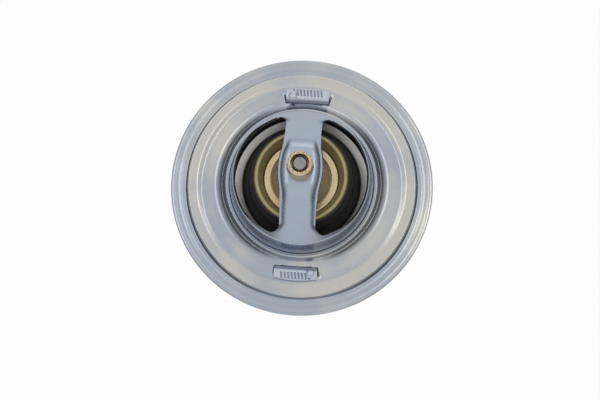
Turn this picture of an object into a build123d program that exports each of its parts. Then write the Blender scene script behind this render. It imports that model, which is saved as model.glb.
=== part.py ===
from build123d import *
import os
from math import acos, atan, cos, hypot, radians, sin, sqrt, tan

# Engine coolant thermostat insert. A wax element hangs on a fixed pin under a pressed bridge,
# pushes itself down as it warms, and takes the valve cone off its seat against a coil spring.
# A sprung disc on the element's stem closes the bypass at the same time.
# Millimetres. The origin lies on the axis, in the underside of the flange's rim.
# +Z runs towards the bridge, and the bridge's strap runs along Y.

# Flange plate
flange_sheet = 1.2
rim_edge_round = 0.5
rim_width = 4.4
rim_bead_inset = 2.8
rim_bead_width = 1.0
rim_bead_height = 0.18
step_height = 1.8
step_lean = 0.6
step_foot_fillet = 0.8
step_top_fillet = 0.7
plateau_rise = 0.35
rise_width = 1.4
rise_margin = 0.4
plateau_width = 2.66
rise_blend = 2.0
collar_lean = 40.0
collar_height = 2.75
collar_clearance = 0.05
collar_fillet = 2.4

# Bridge
bridge_sheet = 1.0
bridge_foot_bend = 0.8
bridge_edge_round = 0.3
wall_lean = 8.9
window_rim_height = 13.1
window_sill_drop = 0.4
shoulder_lean = 60.0
rim_bend = 3.0
platform_height = 25.4
platform_half_length = 6.8
platform_bend = 2.5
strap_shoulder = 2.2
strap_belly_half_width = 6.9
strap_belly_blend = 22.0
strap_waist_half_width = 5.15
strap_waist_start = 11.5
strap_waist_blend = 16.0
strap_foot_start = 14.4
strap_flange_half_length = 4.0
strap_flange_blend = 4.0
strap_flange_depth = 5.0
foot_flare = 3.0
foot_flare_inset = 1.5
foot_flare_reach = 4.4
foot_flare_rise = 4.5
foot_flare_top = 1.0

# Valve seat
seat_sheet = 1.0
seat_neck_clearance = 0.7
seat_neck_lean = 0.6
seat_lip_height = 4.0
seat_lip_rise = 1.6
seat_lip_width = 2.2
seat_foot_bend = 1.0
seat_crest_bend = 1.3
seat_edge_round = 0.2
seat_slot_margin = 1.0

# Lower frame
frame_sheet = 1.2
tab_width = 12.4
tab_length = 4.3
tab_bend = 0.3
tab_rib_count = 9
tab_rib_pitch = 1.0
tab_rib_depth = 0.25
tab_rib_length = 2.0
tab_rib_margin = 0.4
tab_rib_slant = 8.0
tab_dimple_radius = 1.4
tab_dimple_height = 0.4
tab_dimple_margin = 0.5
slot_clearance = 0.35
leg_width = 16.0
leg_knee_drop = 5.0
leg_foot_margin = 1.4
leg_bend = 2.6
frame_base_margin = 0.9
guide_clearance = 0.3
guide_collar_length = 4.5
guide_collar_bend = 0.8

# Pin and its bush
piston_radius = 2.15
piston_clearance = 0.05
piston_recess = 0.5
piston_point = 2.0
piston_tip_radius = 0.75
piston_chamfer = 0.4
bush_neck_radius = 3.0
bush_foot_radius = 3.9
bush_foot_height = 0.8
bush_tip_radius = 3.35
bush_tip_chamfer = 0.35
bush_tip_chamfer_height = 0.5
bush_height = 5.2
bush_bore_radius = 2.8
bush_bore_depth = 1.8
bush_skirt_radius = 4.1
bush_skirt_depth = 2.4
stake_count = 14
stake_depth = 0.3
stake_lean = 30.0
stake_length = 2.4

# Valve
lift = 9.5
valve_sheet = 0.9
valve_foot_bend = 0.8
valve_wall_gap = 0.75
valve_crest_height = 14.1
valve_crest_roll = 0.95
valve_sleeve_length = 4.4
dish_depth = 2.8
dish_bend = 0.9
valve_sleeve_bend = 0.6
seal_cover = 1.8
seal_rim_wall = 0.8
seal_rim_clearance = 0.6
seal_rim_round = 0.4
seal_lap = 0.5
seal_skirt = 0.4
seal_seat_gap = 0.3
seal_bead_wall = 1.55
seal_cone_width = 1.96
seal_bead_height = 8.6
seal_bead_size = 0.3
seal_top_wall = 0.45
seal_top_drop = 0.9
seal_edge_round = 0.2

# Wax element
cup_radius = 8.6
cup_wall = 0.8
cup_depth = 32.5
cup_foot_round = 1.4
crimp_radius = 10.95
crimp_shoulder_height = 5.5
crimp_shoulder_round = 0.6
crimp_height = 11.0
crimp_top_round = 0.7
crimp_eye_radius = 8.6
crimp_eye_round = 0.3
crimp_clearance = 0.05
sleeve_flange = 1.1
sleeve_wall = 2.0
sleeve_depth = 21.2
sleeve_tip_radius = 2.5
sleeve_gap = 0.1
washer_radius = 4.0
washer_thickness = 1.2
washer_clearance = 0.02
guide_eye_clearance = 0.2
guide_shoulder_height = 0.5
guide_neck_radius = 4.6
guide_neck_clearance = 1.8
guide_neck_round = 0.5
guide_cone_height = 4.2
guide_cone_blend = 1.6
wiper_radius = 3.3
wiper_height = 1.5
wiper_recess = 0.3
wiper_edge_round = 0.3

# Main spring
spring_wire = 2.4
spring_clearance = 0.2
spring_turns = 4.25
spring_reserve = 3.1

# Bypass valve
stem_radius = 2.5
stem_head_radius = 5.0
stem_head_height = 1.2
stem_chamfer = 0.4
stem_tail = 0.8
spring_cup_sheet = 1.0
spring_cup_skirt = 1.6
spring_cup_bend = 0.2
spring_cup_clearance = 0.1
bypass_radius = 15.2
bypass_sheet = 1.0
bypass_rim_width = 3.4
bypass_rim_bend = 1.0
bypass_dish_depth = 2.6
bypass_hub_margin = 2.0
bypass_hub_bend = 1.2
bypass_collar_length = 2.4
bypass_collar_bend = 0.4
bypass_edge_round = 0.15
bypass_clearance = 0.1
bypass_lift = 4.5
bypass_wire = 1.2
bypass_spring_radius = 6.3
bypass_spring_turns = 4.5
bypass_spring_reserve = 1.5
stop_washer_radius = 5.0
stop_washer_thickness = 0.8
stop_washer_clearance = 0.05
clip_thickness = 0.8
clip_radius = 4.2
clip_groove_depth = 0.5
clip_gap_angle = 70.0

# Heights that follow from the sizes above
spring_length = spring_turns * spring_wire + lift + spring_reserve
bypass_spring_length = bypass_spring_turns * bypass_wire + bypass_lift + bypass_spring_reserve
rim_top = flange_sheet
plateau_top = rim_top + step_height
tab_seat = plateau_top + plateau_rise
plateau_underside = tab_seat - flange_sheet
seat_underside = plateau_underside - seat_sheet
seat_crest_height = seat_lip_height + seat_lip_rise
bridge_foot_top = plateau_underside + bridge_sheet
collar_top = tab_seat + collar_height
window_sill = window_rim_height - window_sill_drop
platform_underside = platform_height - bridge_sheet
guide_neck_height = platform_underside - bush_skirt_depth - guide_neck_clearance
bush_top = platform_height + bush_height
piston_top = bush_top - piston_recess
valve_flange_height = seat_lip_height - seal_cover
spring_top = valve_flange_height - valve_sheet
frame_base_top = spring_top - spring_length
cup_bottom = crimp_shoulder_height - cup_depth
sleeve_seat = crimp_shoulder_height + cup_wall
guide_seat = sleeve_seat + sleeve_flange
guide_flange_top = crimp_height - cup_wall
wiper_seat = guide_neck_height - wiper_recess - wiper_height
sleeve_tip = guide_seat - sleeve_depth
piston_tip = sleeve_tip + sleeve_wall
stem_shoulder = cup_bottom - stem_head_height
bypass_spring_top = stem_shoulder - spring_cup_sheet
bypass_hub_top = bypass_spring_top - bypass_spring_length
stop_washer_top = bypass_hub_top - bypass_sheet
clip_top = stop_washer_top - stop_washer_thickness
stem_bottom = clip_top - clip_thickness - stem_tail

# Radii from the element outwards: valve, rubber cone, seat and the bridge's ring round them
valve_wall_radius = crimp_radius + 2 * valve_sheet + valve_wall_gap
seal_bead_radius = valve_wall_radius + seal_bead_wall
seat_bore_radius = seal_bead_radius + seal_cone_width
seat_crest_radius = seat_bore_radius + seat_lip_width
seat_neck_radius = seat_crest_radius + seat_neck_lean
bridge_bore_radius = seat_crest_radius + seat_neck_clearance
wall_at_crest = bridge_bore_radius + bridge_sheet / cos(radians(wall_lean))
window_rim_radius = wall_at_crest - (window_rim_height - seat_crest_height) * tan(radians(wall_lean))


def wall_radius(height):
    """Outer radius of the bridge's ring wall at a height."""
    return window_rim_radius + (window_rim_height - height) * tan(radians(wall_lean))


# The collar's lip is closed over the bridge's wall and foot
lip_run = (sin(radians(collar_lean)), cos(radians(collar_lean)))
lip_back_height = collar_top - flange_sheet * lip_run[0]
lip_back_radius = wall_radius(lip_back_height) + collar_clearance
collar_lip_radius = lip_back_radius + flange_sheet * lip_run[1]
collar_foot_radius = collar_lip_radius + collar_height * lip_run[0] / lip_run[1]
collar_back_radius = lip_back_radius + (lip_back_height - bridge_foot_top) * lip_run[0] / lip_run[1]
bridge_foot_radius = collar_back_radius - collar_clearance / lip_run[1]

# The lower frame's tabs pass the flange at the collar's foot
frame_slot_inner = collar_foot_radius
tab_reach = frame_slot_inner + tab_length
seat_outer_radius = frame_slot_inner + frame_sheet + slot_clearance + seat_slot_margin
rise_inner_radius = tab_reach + rise_margin
rise_outer_radius = rise_inner_radius + rise_width
step_radius = rise_outer_radius + plateau_width + step_lean
flange_radius = step_radius + rim_width
rim_bead_radius = flange_radius - rim_bead_inset

# The rubber's rim stands clear of the seat's neck, and the spring bears on the valve inside it
seal_rim_radius = seat_neck_radius - seat_sheet - seal_rim_clearance
valve_flange_radius = seal_rim_radius - seal_rim_wall
spring_mean_radius = valve_flange_radius - seal_lap - spring_clearance - spring_wire / 2
frame_base_radius = spring_mean_radius + spring_wire / 2 + frame_base_margin
leg_foot_reach = frame_base_radius + leg_foot_margin
guide_collar_radius = cup_radius + guide_clearance

# Bores and the pieces that they take
bore_radius = piston_radius + piston_clearance
crimp_bore_radius = crimp_radius - cup_wall
element_bore_radius = crimp_bore_radius - crimp_clearance
sleeve_radius = bore_radius + sleeve_wall
bypass_bore_radius = stem_radius + bypass_clearance
spring_cup_bore = bypass_spring_radius + bypass_wire / 2 + spring_cup_clearance
bypass_hub_radius = bypass_spring_radius + bypass_wire / 2 + bypass_hub_margin

roof_slope = (platform_height - window_rim_height) / (window_rim_radius - platform_half_length)


def roof_height(reach):
    """Height of the strap's sloping top face at a distance from the axis."""
    return window_rim_height + (window_rim_radius - reach) * roof_slope


def direction(start, end):
    length = hypot(end[0] - start[0], end[1] - start[1])
    return (end[0] - start[0]) / length, (end[1] - start[1]) / length


def offset_points(points, distance):
    """The points of an open outline, moved to its left by a distance, with mitred corners."""
    normals = [(-run[1], run[0]) for run in map(direction, points, points[1:])]
    moved = []
    for index, (x, y) in enumerate(points):
        before = normals[max(index - 1, 0)]
        after = normals[min(index, len(normals) - 1)]
        share = distance / (1 + before[0] * after[0] + before[1] * after[1])
        moved.append((x + (before[0] + after[0]) * share, y + (before[1] + after[1]) * share))
    return moved


def fitted_rounds(points, rounds):
    """Corner radii of a closed outline, cut back where a run is too short for both its rounds."""
    count = len(points)
    reach = []
    for index, point in enumerate(points):
        before = direction(points[index - 1], point)
        after = direction(point, points[(index + 1) % count])
        turn = acos(max(-1.0, min(1.0, before[0] * after[0] + before[1] * after[1])))
        reach.append(tan(turn / 2))
    fitted = list(rounds)
    for index, point in enumerate(points):
        following = (index + 1) % count
        run = hypot(points[following][0] - point[0], points[following][1] - point[1])
        taken = fitted[index] * reach[index] + fitted[following] * reach[following]
        if taken > 0.98 * run:
            fitted[index] *= 0.98 * run / taken
            fitted[following] *= 0.98 * run / taken
    return fitted


def rounded_face(points, rounds):
    """Flat face inside a closed outline with rounded corners."""
    return make_face(FilletPolyline(*points, radius=fitted_rounds(points, rounds), close=True))


def turned(points, rounds=None):
    """Solid of revolution about Z from a closed outline of radius and height."""
    return revolve(Plane.XZ * rounded_face(points, rounds or [0.0] * len(points)), Axis.Z)


def bent_sheet(points, bends, sheet, end_round=0.0):
    """Section of a bent sheet whose face follows the points. Its back lies to their left."""
    side = 1 if sheet > 0 else -1
    back_bends = []
    for index, bend in enumerate(bends):
        before = direction(points[index], points[index + 1])
        after = direction(points[index + 1], points[index + 2])
        turn = before[0] * after[1] - before[1] * after[0]
        back_bends.append(max(bend - abs(sheet), 0.0) if turn * side > 0 else bend + abs(sheet))
    outline = points + offset_points(points, sheet)[::-1]
    return rounded_face(outline, [end_round, *bends, end_round, end_round, *back_bends[::-1], end_round])


def pressed_ring(points, bends, sheet, end_round=0.0):
    """Pressed sheet ring about Z whose face follows the points of radius and height."""
    return revolve(Plane.XZ * bent_sheet(points, bends, sheet, end_round), Axis.Z)


def washer(outer_radius, inner_radius, bottom, top, edge_round=0.0):
    outline = [(inner_radius, bottom), (outer_radius, bottom), (outer_radius, top), (inner_radius, top)]
    return turned(outline, [edge_round] * 4)


def coil_spring(mean_radius, wire, turns, bottom, top):
    """Round wire wound between two flat seats."""
    height = top - bottom - wire
    path = Pos(0, 0, bottom + wire / 2) * Helix(pitch=height / turns, height=height, radius=mean_radius)
    section = Plane(origin=path @ 0, z_dir=path % 0) * Circle(wire / 2)
    return sweep(section, path=path, is_frenet=True)


def mirrored_pair(shape):
    """A shape and its copy turned half a turn about Z."""
    return shape + Rot(0, 0, 180) * shape


def tab_slots():
    """Openings that the lower frame's two tabs pass through."""
    width = tab_width + 2 * slot_clearance
    depth = frame_sheet + 2 * slot_clearance
    centre = frame_slot_inner + frame_sheet / 2
    height = collar_top - seat_underside
    slot = Pos(0, centre, seat_underside + height / 2 - slot_clearance) * Box(width, depth, height)
    return mirrored_pair(slot)


def flange_plate():
    """Rim, step, raised plateau and the collar whose lip is closed over the bridge's foot."""
    face = [
        (flange_radius, rim_top),
        (step_radius, rim_top),
        (step_radius - step_lean, plateau_top),
        (rise_outer_radius, plateau_top),
        (rise_inner_radius, tab_seat),
        (collar_foot_radius, tab_seat),
        (collar_lip_radius, collar_top),
    ]
    bends = [step_foot_fillet, step_top_fillet, rise_blend, rise_blend, collar_fillet]
    plate = pressed_ring(face, bends, flange_sheet)
    rim_edges = plate.edges().filter_by(GeomType.CIRCLE).filter_by(lambda edge: edge.radius > flange_radius - 0.01)
    plate = fillet(rim_edges.sort_by(Axis.Z)[-1:], rim_edge_round)
    bead = turned([
        (rim_bead_radius - rim_bead_width / 2, rim_top),
        (rim_bead_radius, rim_top + rim_bead_height),
        (rim_bead_radius + rim_bead_width / 2, rim_top),
    ], [0.0, rim_bead_width / 2, 0.0])
    return plate + bead - tab_slots()


def seat_face():
    """Upper side of the seat's section, from its outer edge to the lip's bore."""
    return [
        (seat_outer_radius, plateau_underside),
        (seat_neck_radius, plateau_underside),
        (seat_crest_radius, seat_crest_height),
        (seat_bore_radius, seat_lip_height),
    ]


def seat_ring():
    """Ring under the flange, with the rolled lip that the valve cone closes against."""
    return pressed_ring(seat_face(), [seat_foot_bend, seat_crest_bend], seat_sheet, seat_edge_round) - tab_slots()


def roof_prism(drop, half_width, bend):
    """Solid under the strap's trapezoid roof line, lowered by a distance."""
    far = bridge_foot_radius + bridge_sheet
    roof = [
        (-far, roof_height(far)),
        (-platform_half_length, platform_height),
        (platform_half_length, platform_height),
        (far, roof_height(far)),
    ]
    roof = offset_points(roof, -drop)
    outline = [(roof[0][0], 0.0), *roof, (roof[-1][0], 0.0)]
    return extrude(Plane.YZ * rounded_face(outline, [0.0, 0.0, bend, bend, 0.0, 0.0]), amount=half_width, both=True)


def dome(inset):
    """Solid inside the bridge's ring wall and the steep shoulder above its windows."""
    rise = platform_height - window_rim_height
    shoulder_radius = window_rim_radius - rise / tan(radians(shoulder_lean))
    side = [
        (wall_radius(bridge_foot_top), bridge_foot_top),
        (window_rim_radius, window_rim_height),
        (shoulder_radius, platform_height),
    ]
    side = offset_points(side, inset)
    outline = [(0.0, side[0][1]), *side, (0.0, side[-1][1])]
    return turned(outline, [0.0, 0.0, rim_bend - inset, 0.0, 0.0])


def strap_plan(inset):
    """Solid under the strap's outline from above, widest under the bush."""
    end = strap_foot_start + bridge_sheet
    waist = strap_waist_half_width
    side = [(waist, -end), (waist, -strap_waist_start), (strap_belly_half_width, 0.0)]
    side += [(waist, strap_waist_start), (waist, end)]
    side = offset_points(side, inset)
    side += [(-x, -y) for x, y in side]
    waist_blend = strap_waist_blend + inset
    blends = [0.0, waist_blend, strap_belly_blend - inset, waist_blend, 0.0]
    return extrude(rounded_face(side, blends * 2), amount=platform_height)


def strap_body(inset):
    """Solid under the strap's skin: its outline under its roof, with rounded shoulders."""
    body = strap_plan(inset) & roof_prism(inset, strap_belly_half_width, platform_bend - inset)
    shoulders = body.edges().filter_by(lambda edge: is_shoulder(edge, inset))
    return fillet(shoulders, strap_shoulder - inset)


def is_shoulder(edge, inset):
    """Whether an edge runs along the strap, where the roof meets the sides."""
    middle = edge @ 0.5
    across = abs(middle.X) > strap_waist_half_width - inset - bridge_sheet / 2
    along = abs((edge @ 0).Y - (edge @ 1).Y) > bridge_sheet / 2
    return across and along and middle.Z > bridge_sheet / 2


def strap_channel():
    """Middle of the strap: a channel whose side flanges are deepest under the bush."""
    end = strap_foot_start + bridge_sheet / 2
    above = platform_height + bridge_sheet
    sheet_drop = bridge_sheet / cos(atan(roof_slope))
    lower_edge = [
        (end, roof_height(end) - sheet_drop),
        (strap_waist_start, roof_height(strap_waist_start) - sheet_drop),
        (strap_flange_half_length, platform_height - strap_flange_depth),
    ]
    side = [*lower_edge, *[(-y, z) for y, z in reversed(lower_edge)], (-end, above), (end, above)]
    edge_rounds = [0.0, strap_waist_blend, strap_flange_blend]
    side_rounds = [*edge_rounds, *reversed(edge_rounds), 0.0, 0.0]
    flanges = extrude(Plane.YZ * rounded_face(side, side_rounds), amount=2 * strap_belly_half_width, both=True)
    return (strap_body(0.0) - strap_body(bridge_sheet)) & flanges


def strap_feet():
    """Ends of the strap, which flare into the ring wall at the windows' corners."""
    shell = dome(0.0) & roof_prism(0.0, window_rim_radius, platform_bend)
    shell -= dome(bridge_sheet) & roof_prism(bridge_sheet, window_rim_radius, platform_bend - bridge_sheet)
    ring_bore = window_rim_radius - foot_flare_inset
    ring = Circle(bridge_foot_radius) - Circle(ring_bore)
    plan = Rectangle(2 * strap_waist_half_width, 2 * window_rim_radius) + ring
    corners = plan.vertices().filter_by(lambda v: abs(hypot(v.X, v.Y) - ring_bore) < 0.01)
    plan = fillet(corners.filter_by(lambda v: abs(abs(v.X) - strap_waist_half_width) < 0.01), foot_flare)
    reach = strap_waist_half_width + foot_flare_reach
    flank = strap_waist_half_width + foot_flare_top
    side = [
        (reach, window_sill - bridge_sheet),
        (reach, window_sill),
        (flank, window_sill + foot_flare_rise),
        (flank, platform_height),
    ]
    side += [(-x, z) for x, z in reversed(side)]
    limit = extrude(Plane.XZ * make_face(Polyline(*side, close=True)), amount=bridge_foot_radius, both=True)
    width = 2 * bridge_foot_radius
    end = Pos(0, strap_foot_start + width / 2, platform_height / 2) * Box(width, width, platform_height)
    return shell & extrude(plan, amount=platform_height) & limit & mirrored_pair(end)


def bridge_frame():
    """Strap, ring wall with two windows and the foot trapped under the flange's collar."""
    wall_face = [
        (bridge_foot_radius, bridge_foot_top),
        (wall_radius(bridge_foot_top), bridge_foot_top),
        (wall_radius(window_sill), window_sill),
    ]
    ring = pressed_ring(wall_face, [bridge_foot_bend], bridge_sheet, bridge_edge_round)
    bridge = ring + strap_feet() + strap_channel()
    bush_hole = Pos(0, 0, platform_height) * Cylinder(bush_neck_radius, 4 * bridge_sheet)
    return bridge - bush_hole


def adjusting_bush():
    """Bush staked into the strap, which holds the pin's upper end."""
    bush = turned([
        (bore_radius, platform_underside - bush_skirt_depth),
        (bush_skirt_radius, platform_underside - bush_skirt_depth),
        (bush_skirt_radius, platform_underside),
        (bush_neck_radius, platform_underside),
        (bush_neck_radius, platform_height),
        (bush_foot_radius, platform_height),
        (bush_foot_radius, platform_height + bush_foot_height),
        (bush_tip_radius, bush_top - bush_tip_chamfer_height),
        (bush_tip_radius - bush_tip_chamfer, bush_top),
        (bush_bore_radius, bush_top),
        (bush_bore_radius, bush_top - bush_bore_depth),
        (bore_radius, bush_top - bush_bore_depth),
    ])
    stake = Pos(bush_tip_radius + stake_depth, 0, bush_top) * Rot(0, -stake_lean, 0) * Cylinder(stake_depth, stake_length)
    for index in range(stake_count):
        bush -= Rot(0, 0, index * 360 / stake_count) * stake
    return bush


def piston():
    """Fixed pin: the element pushes itself down along it."""
    return turned([
        (0.0, piston_tip),
        (piston_tip_radius, piston_tip),
        (piston_radius, piston_tip + piston_point),
        (piston_radius, piston_top - piston_chamfer),
        (piston_radius - piston_chamfer, piston_top),
        (0.0, piston_top),
    ])


def lower_frame():
    """Stirrup that carries the main spring, hung in the flange by two folded tabs."""
    tab_top = tab_seat + frame_sheet
    leg_face = [
        (guide_collar_radius + leg_bend, frame_base_top),
        (leg_foot_reach, frame_base_top),
        (frame_slot_inner, seat_underside - leg_knee_drop),
        (frame_slot_inner, tab_top),
        (tab_reach, tab_top),
    ]
    section = bent_sheet(leg_face, [leg_bend, leg_bend, frame_sheet + tab_bend], -frame_sheet)
    leg = extrude(Plane.YZ * section, amount=leg_width / 2, both=True)
    cheek_width = (leg_width - tab_width) / 2
    for side in (-1, 1):
        cheek_centre = side * (tab_width + cheek_width) / 2
        above_seat = Pos(cheek_centre, tab_reach, seat_underside + tab_reach / 2)
        leg -= above_seat * Box(cheek_width, 2 * tab_reach, tab_reach)
    leg &= Cylinder(tab_reach, 4 * tab_reach)
    leg = leg - tab_ribs() + tab_dimple()
    base_face = [
        (frame_base_radius, frame_base_top),
        (guide_collar_radius, frame_base_top),
        (guide_collar_radius, frame_base_top - guide_collar_length),
    ]
    base = pressed_ring(base_face, [frame_sheet + guide_collar_bend], frame_sheet)
    return base + mirrored_pair(leg)


def tab_ribs():
    """Grooves that the folding tool presses into a tab's outer half."""
    grooves = []
    tab_top = tab_seat + frame_sheet
    centre = tab_reach - tab_rib_margin - tab_rib_length / 2
    groove_side = tab_rib_depth * sqrt(2)
    for index in range(tab_rib_count):
        along = (index - (tab_rib_count - 1) / 2) * tab_rib_pitch
        groove = Rot(0, 0, tab_rib_slant) * Rot(0, 45, 0) * Box(groove_side, tab_rib_length, groove_side)
        grooves.append(Pos(along, centre, tab_top) * groove)
    return Compound(grooves)


def tab_dimple():
    """Round punch mark raised at one end of a tab, over the fold."""
    tab_top = tab_seat + frame_sheet
    cap_radius = (tab_dimple_radius ** 2 + tab_dimple_height ** 2) / (2 * tab_dimple_height)
    centre = tab_dimple_margin + tab_dimple_radius
    cap = Pos(0, 0, tab_dimple_height - cap_radius) * Sphere(cap_radius)
    cap &= Pos(0, 0, tab_dimple_height / 2) * Box(4 * tab_dimple_radius, 4 * tab_dimple_radius, tab_dimple_height)
    return Pos(centre - tab_width / 2, frame_slot_inner + centre, tab_top) * cap


def valve_plate():
    """Pressed plate: spring seat, wall, rolled crest and the sleeve that grips the element."""
    face = [
        (valve_flange_radius, valve_flange_height),
        (valve_wall_radius, valve_flange_height),
        (valve_wall_radius, valve_crest_height),
        (valve_wall_radius - 2 * valve_crest_roll, valve_crest_height),
        (crimp_radius, valve_crest_height - dish_depth),
        (crimp_radius, valve_crest_height - dish_depth - valve_sleeve_length),
    ]
    return pressed_ring(face, [valve_foot_bend, valve_crest_roll, dish_bend, valve_sleeve_bend], valve_sheet)


def valve_seal():
    """Rubber cone moulded round the valve plate, a small gap clear of the seat's edge."""
    crest, lip = seat_face()[2:]
    run = direction(crest, lip)
    seal_line = (lip[0] + run[0] * seal_seat_gap, lip[1] + run[1] * seal_seat_gap)
    shoulder = (seal_line[0] - run[1] * seat_sheet, seal_line[1] + run[0] * seat_sheet)
    seal_top = valve_crest_height - seal_top_drop
    skirt_bottom = spring_top - seal_skirt
    skirt_radius = valve_flange_radius - seal_lap
    return turned([
        (valve_wall_radius, valve_flange_height + valve_foot_bend),
        (valve_wall_radius + valve_foot_bend, valve_flange_height),
        (valve_flange_radius, valve_flange_height),
        (valve_flange_radius, spring_top),
        (skirt_radius, spring_top),
        (skirt_radius, skirt_bottom),
        (seal_rim_radius, skirt_bottom),
        (seal_rim_radius, valve_flange_height),
        shoulder,
        seal_line,
        (seal_bead_radius, seal_bead_height - seal_bead_size),
        (seal_bead_radius + seal_bead_size, seal_bead_height),
        (seal_bead_radius, seal_bead_height + seal_bead_size),
        (valve_wall_radius + seal_top_wall, seal_top),
        (valve_wall_radius, seal_top),
    ], [
        0.0, 0.0, 0.0, 0.0, 0.0, seal_edge_round, seal_rim_round, seal_edge_round,
        0.0, 0.0, 0.0, seal_bead_size / 2, 0.0, seal_edge_round, 0.0,
    ])


def element_cup():
    """Drawn cup of the wax element, with its top edge rolled over the guide."""
    bore = cup_radius - cup_wall
    return turned([
        (0.0, cup_bottom),
        (cup_radius, cup_bottom),
        (cup_radius, crimp_shoulder_height),
        (crimp_radius, crimp_shoulder_height),
        (crimp_radius, crimp_height),
        (crimp_eye_radius, crimp_height),
        (crimp_eye_radius, guide_flange_top),
        (crimp_bore_radius, guide_flange_top),
        (crimp_bore_radius, sleeve_seat),
        (bore, sleeve_seat),
        (bore, cup_bottom + cup_wall),
        (0.0, cup_bottom + cup_wall),
    ], [
        0.0, cup_foot_round, crimp_eye_round, crimp_shoulder_round, crimp_top_round, crimp_eye_round,
        0.0, 0.0, 0.0, 0.0, cup_foot_round - cup_wall, 0.0,
    ])


def element_guide():
    """Guide that closes the cup and leads the pin through its neck."""
    shoulder_radius = crimp_eye_radius - guide_eye_clearance
    return turned([
        (washer_radius, guide_seat),
        (element_bore_radius, guide_seat),
        (element_bore_radius, guide_flange_top),
        (shoulder_radius, guide_flange_top),
        (shoulder_radius - guide_shoulder_height, guide_flange_top + guide_shoulder_height),
        (guide_neck_radius, guide_flange_top + guide_cone_height),
        (guide_neck_radius, guide_neck_height),
        (wiper_radius, guide_neck_height),
        (wiper_radius, wiper_seat),
        (bore_radius, wiper_seat),
        (bore_radius, guide_seat + washer_thickness),
        (washer_radius, guide_seat + washer_thickness),
    ], [0.0, 0.0, 0.0, 0.0, crimp_eye_round, guide_cone_blend, guide_neck_round, 0.0, 0.0, 0.0, 0.0, 0.0])


def sleeve_outside():
    """Outline of the rubber sleeve below its flange, which the wax fits."""
    return [
        (0.0, sleeve_tip),
        (sleeve_tip_radius, sleeve_tip),
        (sleeve_radius, piston_tip + piston_point),
        (sleeve_radius, sleeve_seat),
    ]


def rubber_sleeve():
    """Closed rubber sleeve round the pin, squeezed by the wax."""
    return turned([
        *sleeve_outside(),
        (element_bore_radius, sleeve_seat),
        (element_bore_radius, guide_seat),
        (bore_radius, guide_seat),
        (bore_radius, piston_tip + piston_point - sleeve_gap),
        (piston_tip_radius + sleeve_gap, piston_tip - sleeve_gap),
        (0.0, piston_tip - sleeve_gap),
    ])


def wax_charge():
    """Wax that fills the cup round the sleeve."""
    bore = cup_radius - cup_wall
    floor = cup_bottom + cup_wall
    outline = [(0.0, floor), (bore, floor), (bore, sleeve_seat), *sleeve_outside()[::-1]]
    return turned(outline, [0.0, cup_foot_round - cup_wall, 0.0, 0.0, 0.0, 0.0, 0.0])


def backup_washer():
    """Hard washer that keeps the rubber out of the guide's bore."""
    return washer(washer_radius - washer_clearance, bore_radius, guide_seat, guide_seat + washer_thickness)


def piston_wiper():
    """Ring in the neck's mouth that wipes the pin."""
    return washer(wiper_radius - washer_clearance, bore_radius, wiper_seat, wiper_seat + wiper_height, wiper_edge_round)


def bypass_stem():
    """Turned stem brazed to the cup, grooved for the clip."""
    groove_radius = stem_radius - clip_groove_depth
    return turned([
        (0.0, cup_bottom),
        (stem_head_radius, cup_bottom),
        (stem_head_radius, stem_shoulder),
        (stem_radius, stem_shoulder),
        (stem_radius, clip_top),
        (groove_radius, clip_top),
        (groove_radius, clip_top - clip_thickness),
        (stem_radius, clip_top - clip_thickness),
        (stem_radius, stem_bottom + stem_chamfer),
        (stem_radius - stem_chamfer, stem_bottom),
        (0.0, stem_bottom),
    ])


def spring_cup():
    """Small cup washer that centres the bypass spring under the stem's head."""
    face = [
        (bypass_bore_radius, bypass_spring_top),
        (spring_cup_bore, bypass_spring_top),
        (spring_cup_bore, bypass_spring_top - spring_cup_skirt),
    ]
    return pressed_ring(face, [spring_cup_bend], spring_cup_sheet)


def bypass_disc():
    """Dished disc that slides on the stem and closes the bypass port."""
    rim_height = bypass_hub_top - bypass_dish_depth
    collar_radius = bypass_bore_radius + bypass_sheet
    face = [
        (bypass_radius, rim_height),
        (bypass_radius - bypass_rim_width, rim_height),
        (bypass_hub_radius, bypass_hub_top),
        (collar_radius, bypass_hub_top),
        (collar_radius, bypass_hub_top + bypass_collar_length),
    ]
    bends = [bypass_rim_bend, bypass_hub_bend, bypass_collar_bend]
    return pressed_ring(face, bends, bypass_sheet, bypass_edge_round)


def stop_washer():
    """Washer that the disc rests on."""
    bottom = stop_washer_top - stop_washer_thickness
    return washer(stop_washer_radius, stem_radius + stop_washer_clearance, bottom, stop_washer_top)


def retaining_clip():
    """Open clip in the stem's groove."""
    ring = washer(clip_radius, stem_radius - clip_groove_depth, clip_top - clip_thickness, clip_top)
    half_gap = radians(clip_gap_angle / 2)
    reach = 2 * clip_radius
    corner = (reach * cos(half_gap), reach * sin(half_gap))
    mouth = make_face(Polyline((0, 0), corner, (corner[0], -corner[1]), close=True))
    return ring - extrude(Pos(0, 0, clip_top - 2 * clip_thickness) * mouth, amount=3 * clip_thickness)


def main_spring():
    return coil_spring(spring_mean_radius, spring_wire, spring_turns, frame_base_top, spring_top)


def bypass_spring():
    return coil_spring(bypass_spring_radius, bypass_wire, bypass_spring_turns, bypass_hub_top, bypass_spring_top)


nodes = {
    "flange_plate": flange_plate,
    "bridge_frame": bridge_frame,
    "seat_ring": seat_ring,
    "lower_frame": lower_frame,
    "adjusting_bush": adjusting_bush,
    "piston": piston,
    "valve_plate": valve_plate,
    "valve_seal": valve_seal,
    "element_cup": element_cup,
    "element_guide": element_guide,
    "rubber_sleeve": rubber_sleeve,
    "wax_charge": wax_charge,
    "backup_washer": backup_washer,
    "piston_wiper": piston_wiper,
    "main_spring": main_spring,
    "bypass_stem": bypass_stem,
    "spring_cup": spring_cup,
    "bypass_spring": bypass_spring,
    "bypass_disc": bypass_disc,
    "stop_washer": stop_washer,
    "retaining_clip": retaining_clip,
}

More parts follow.
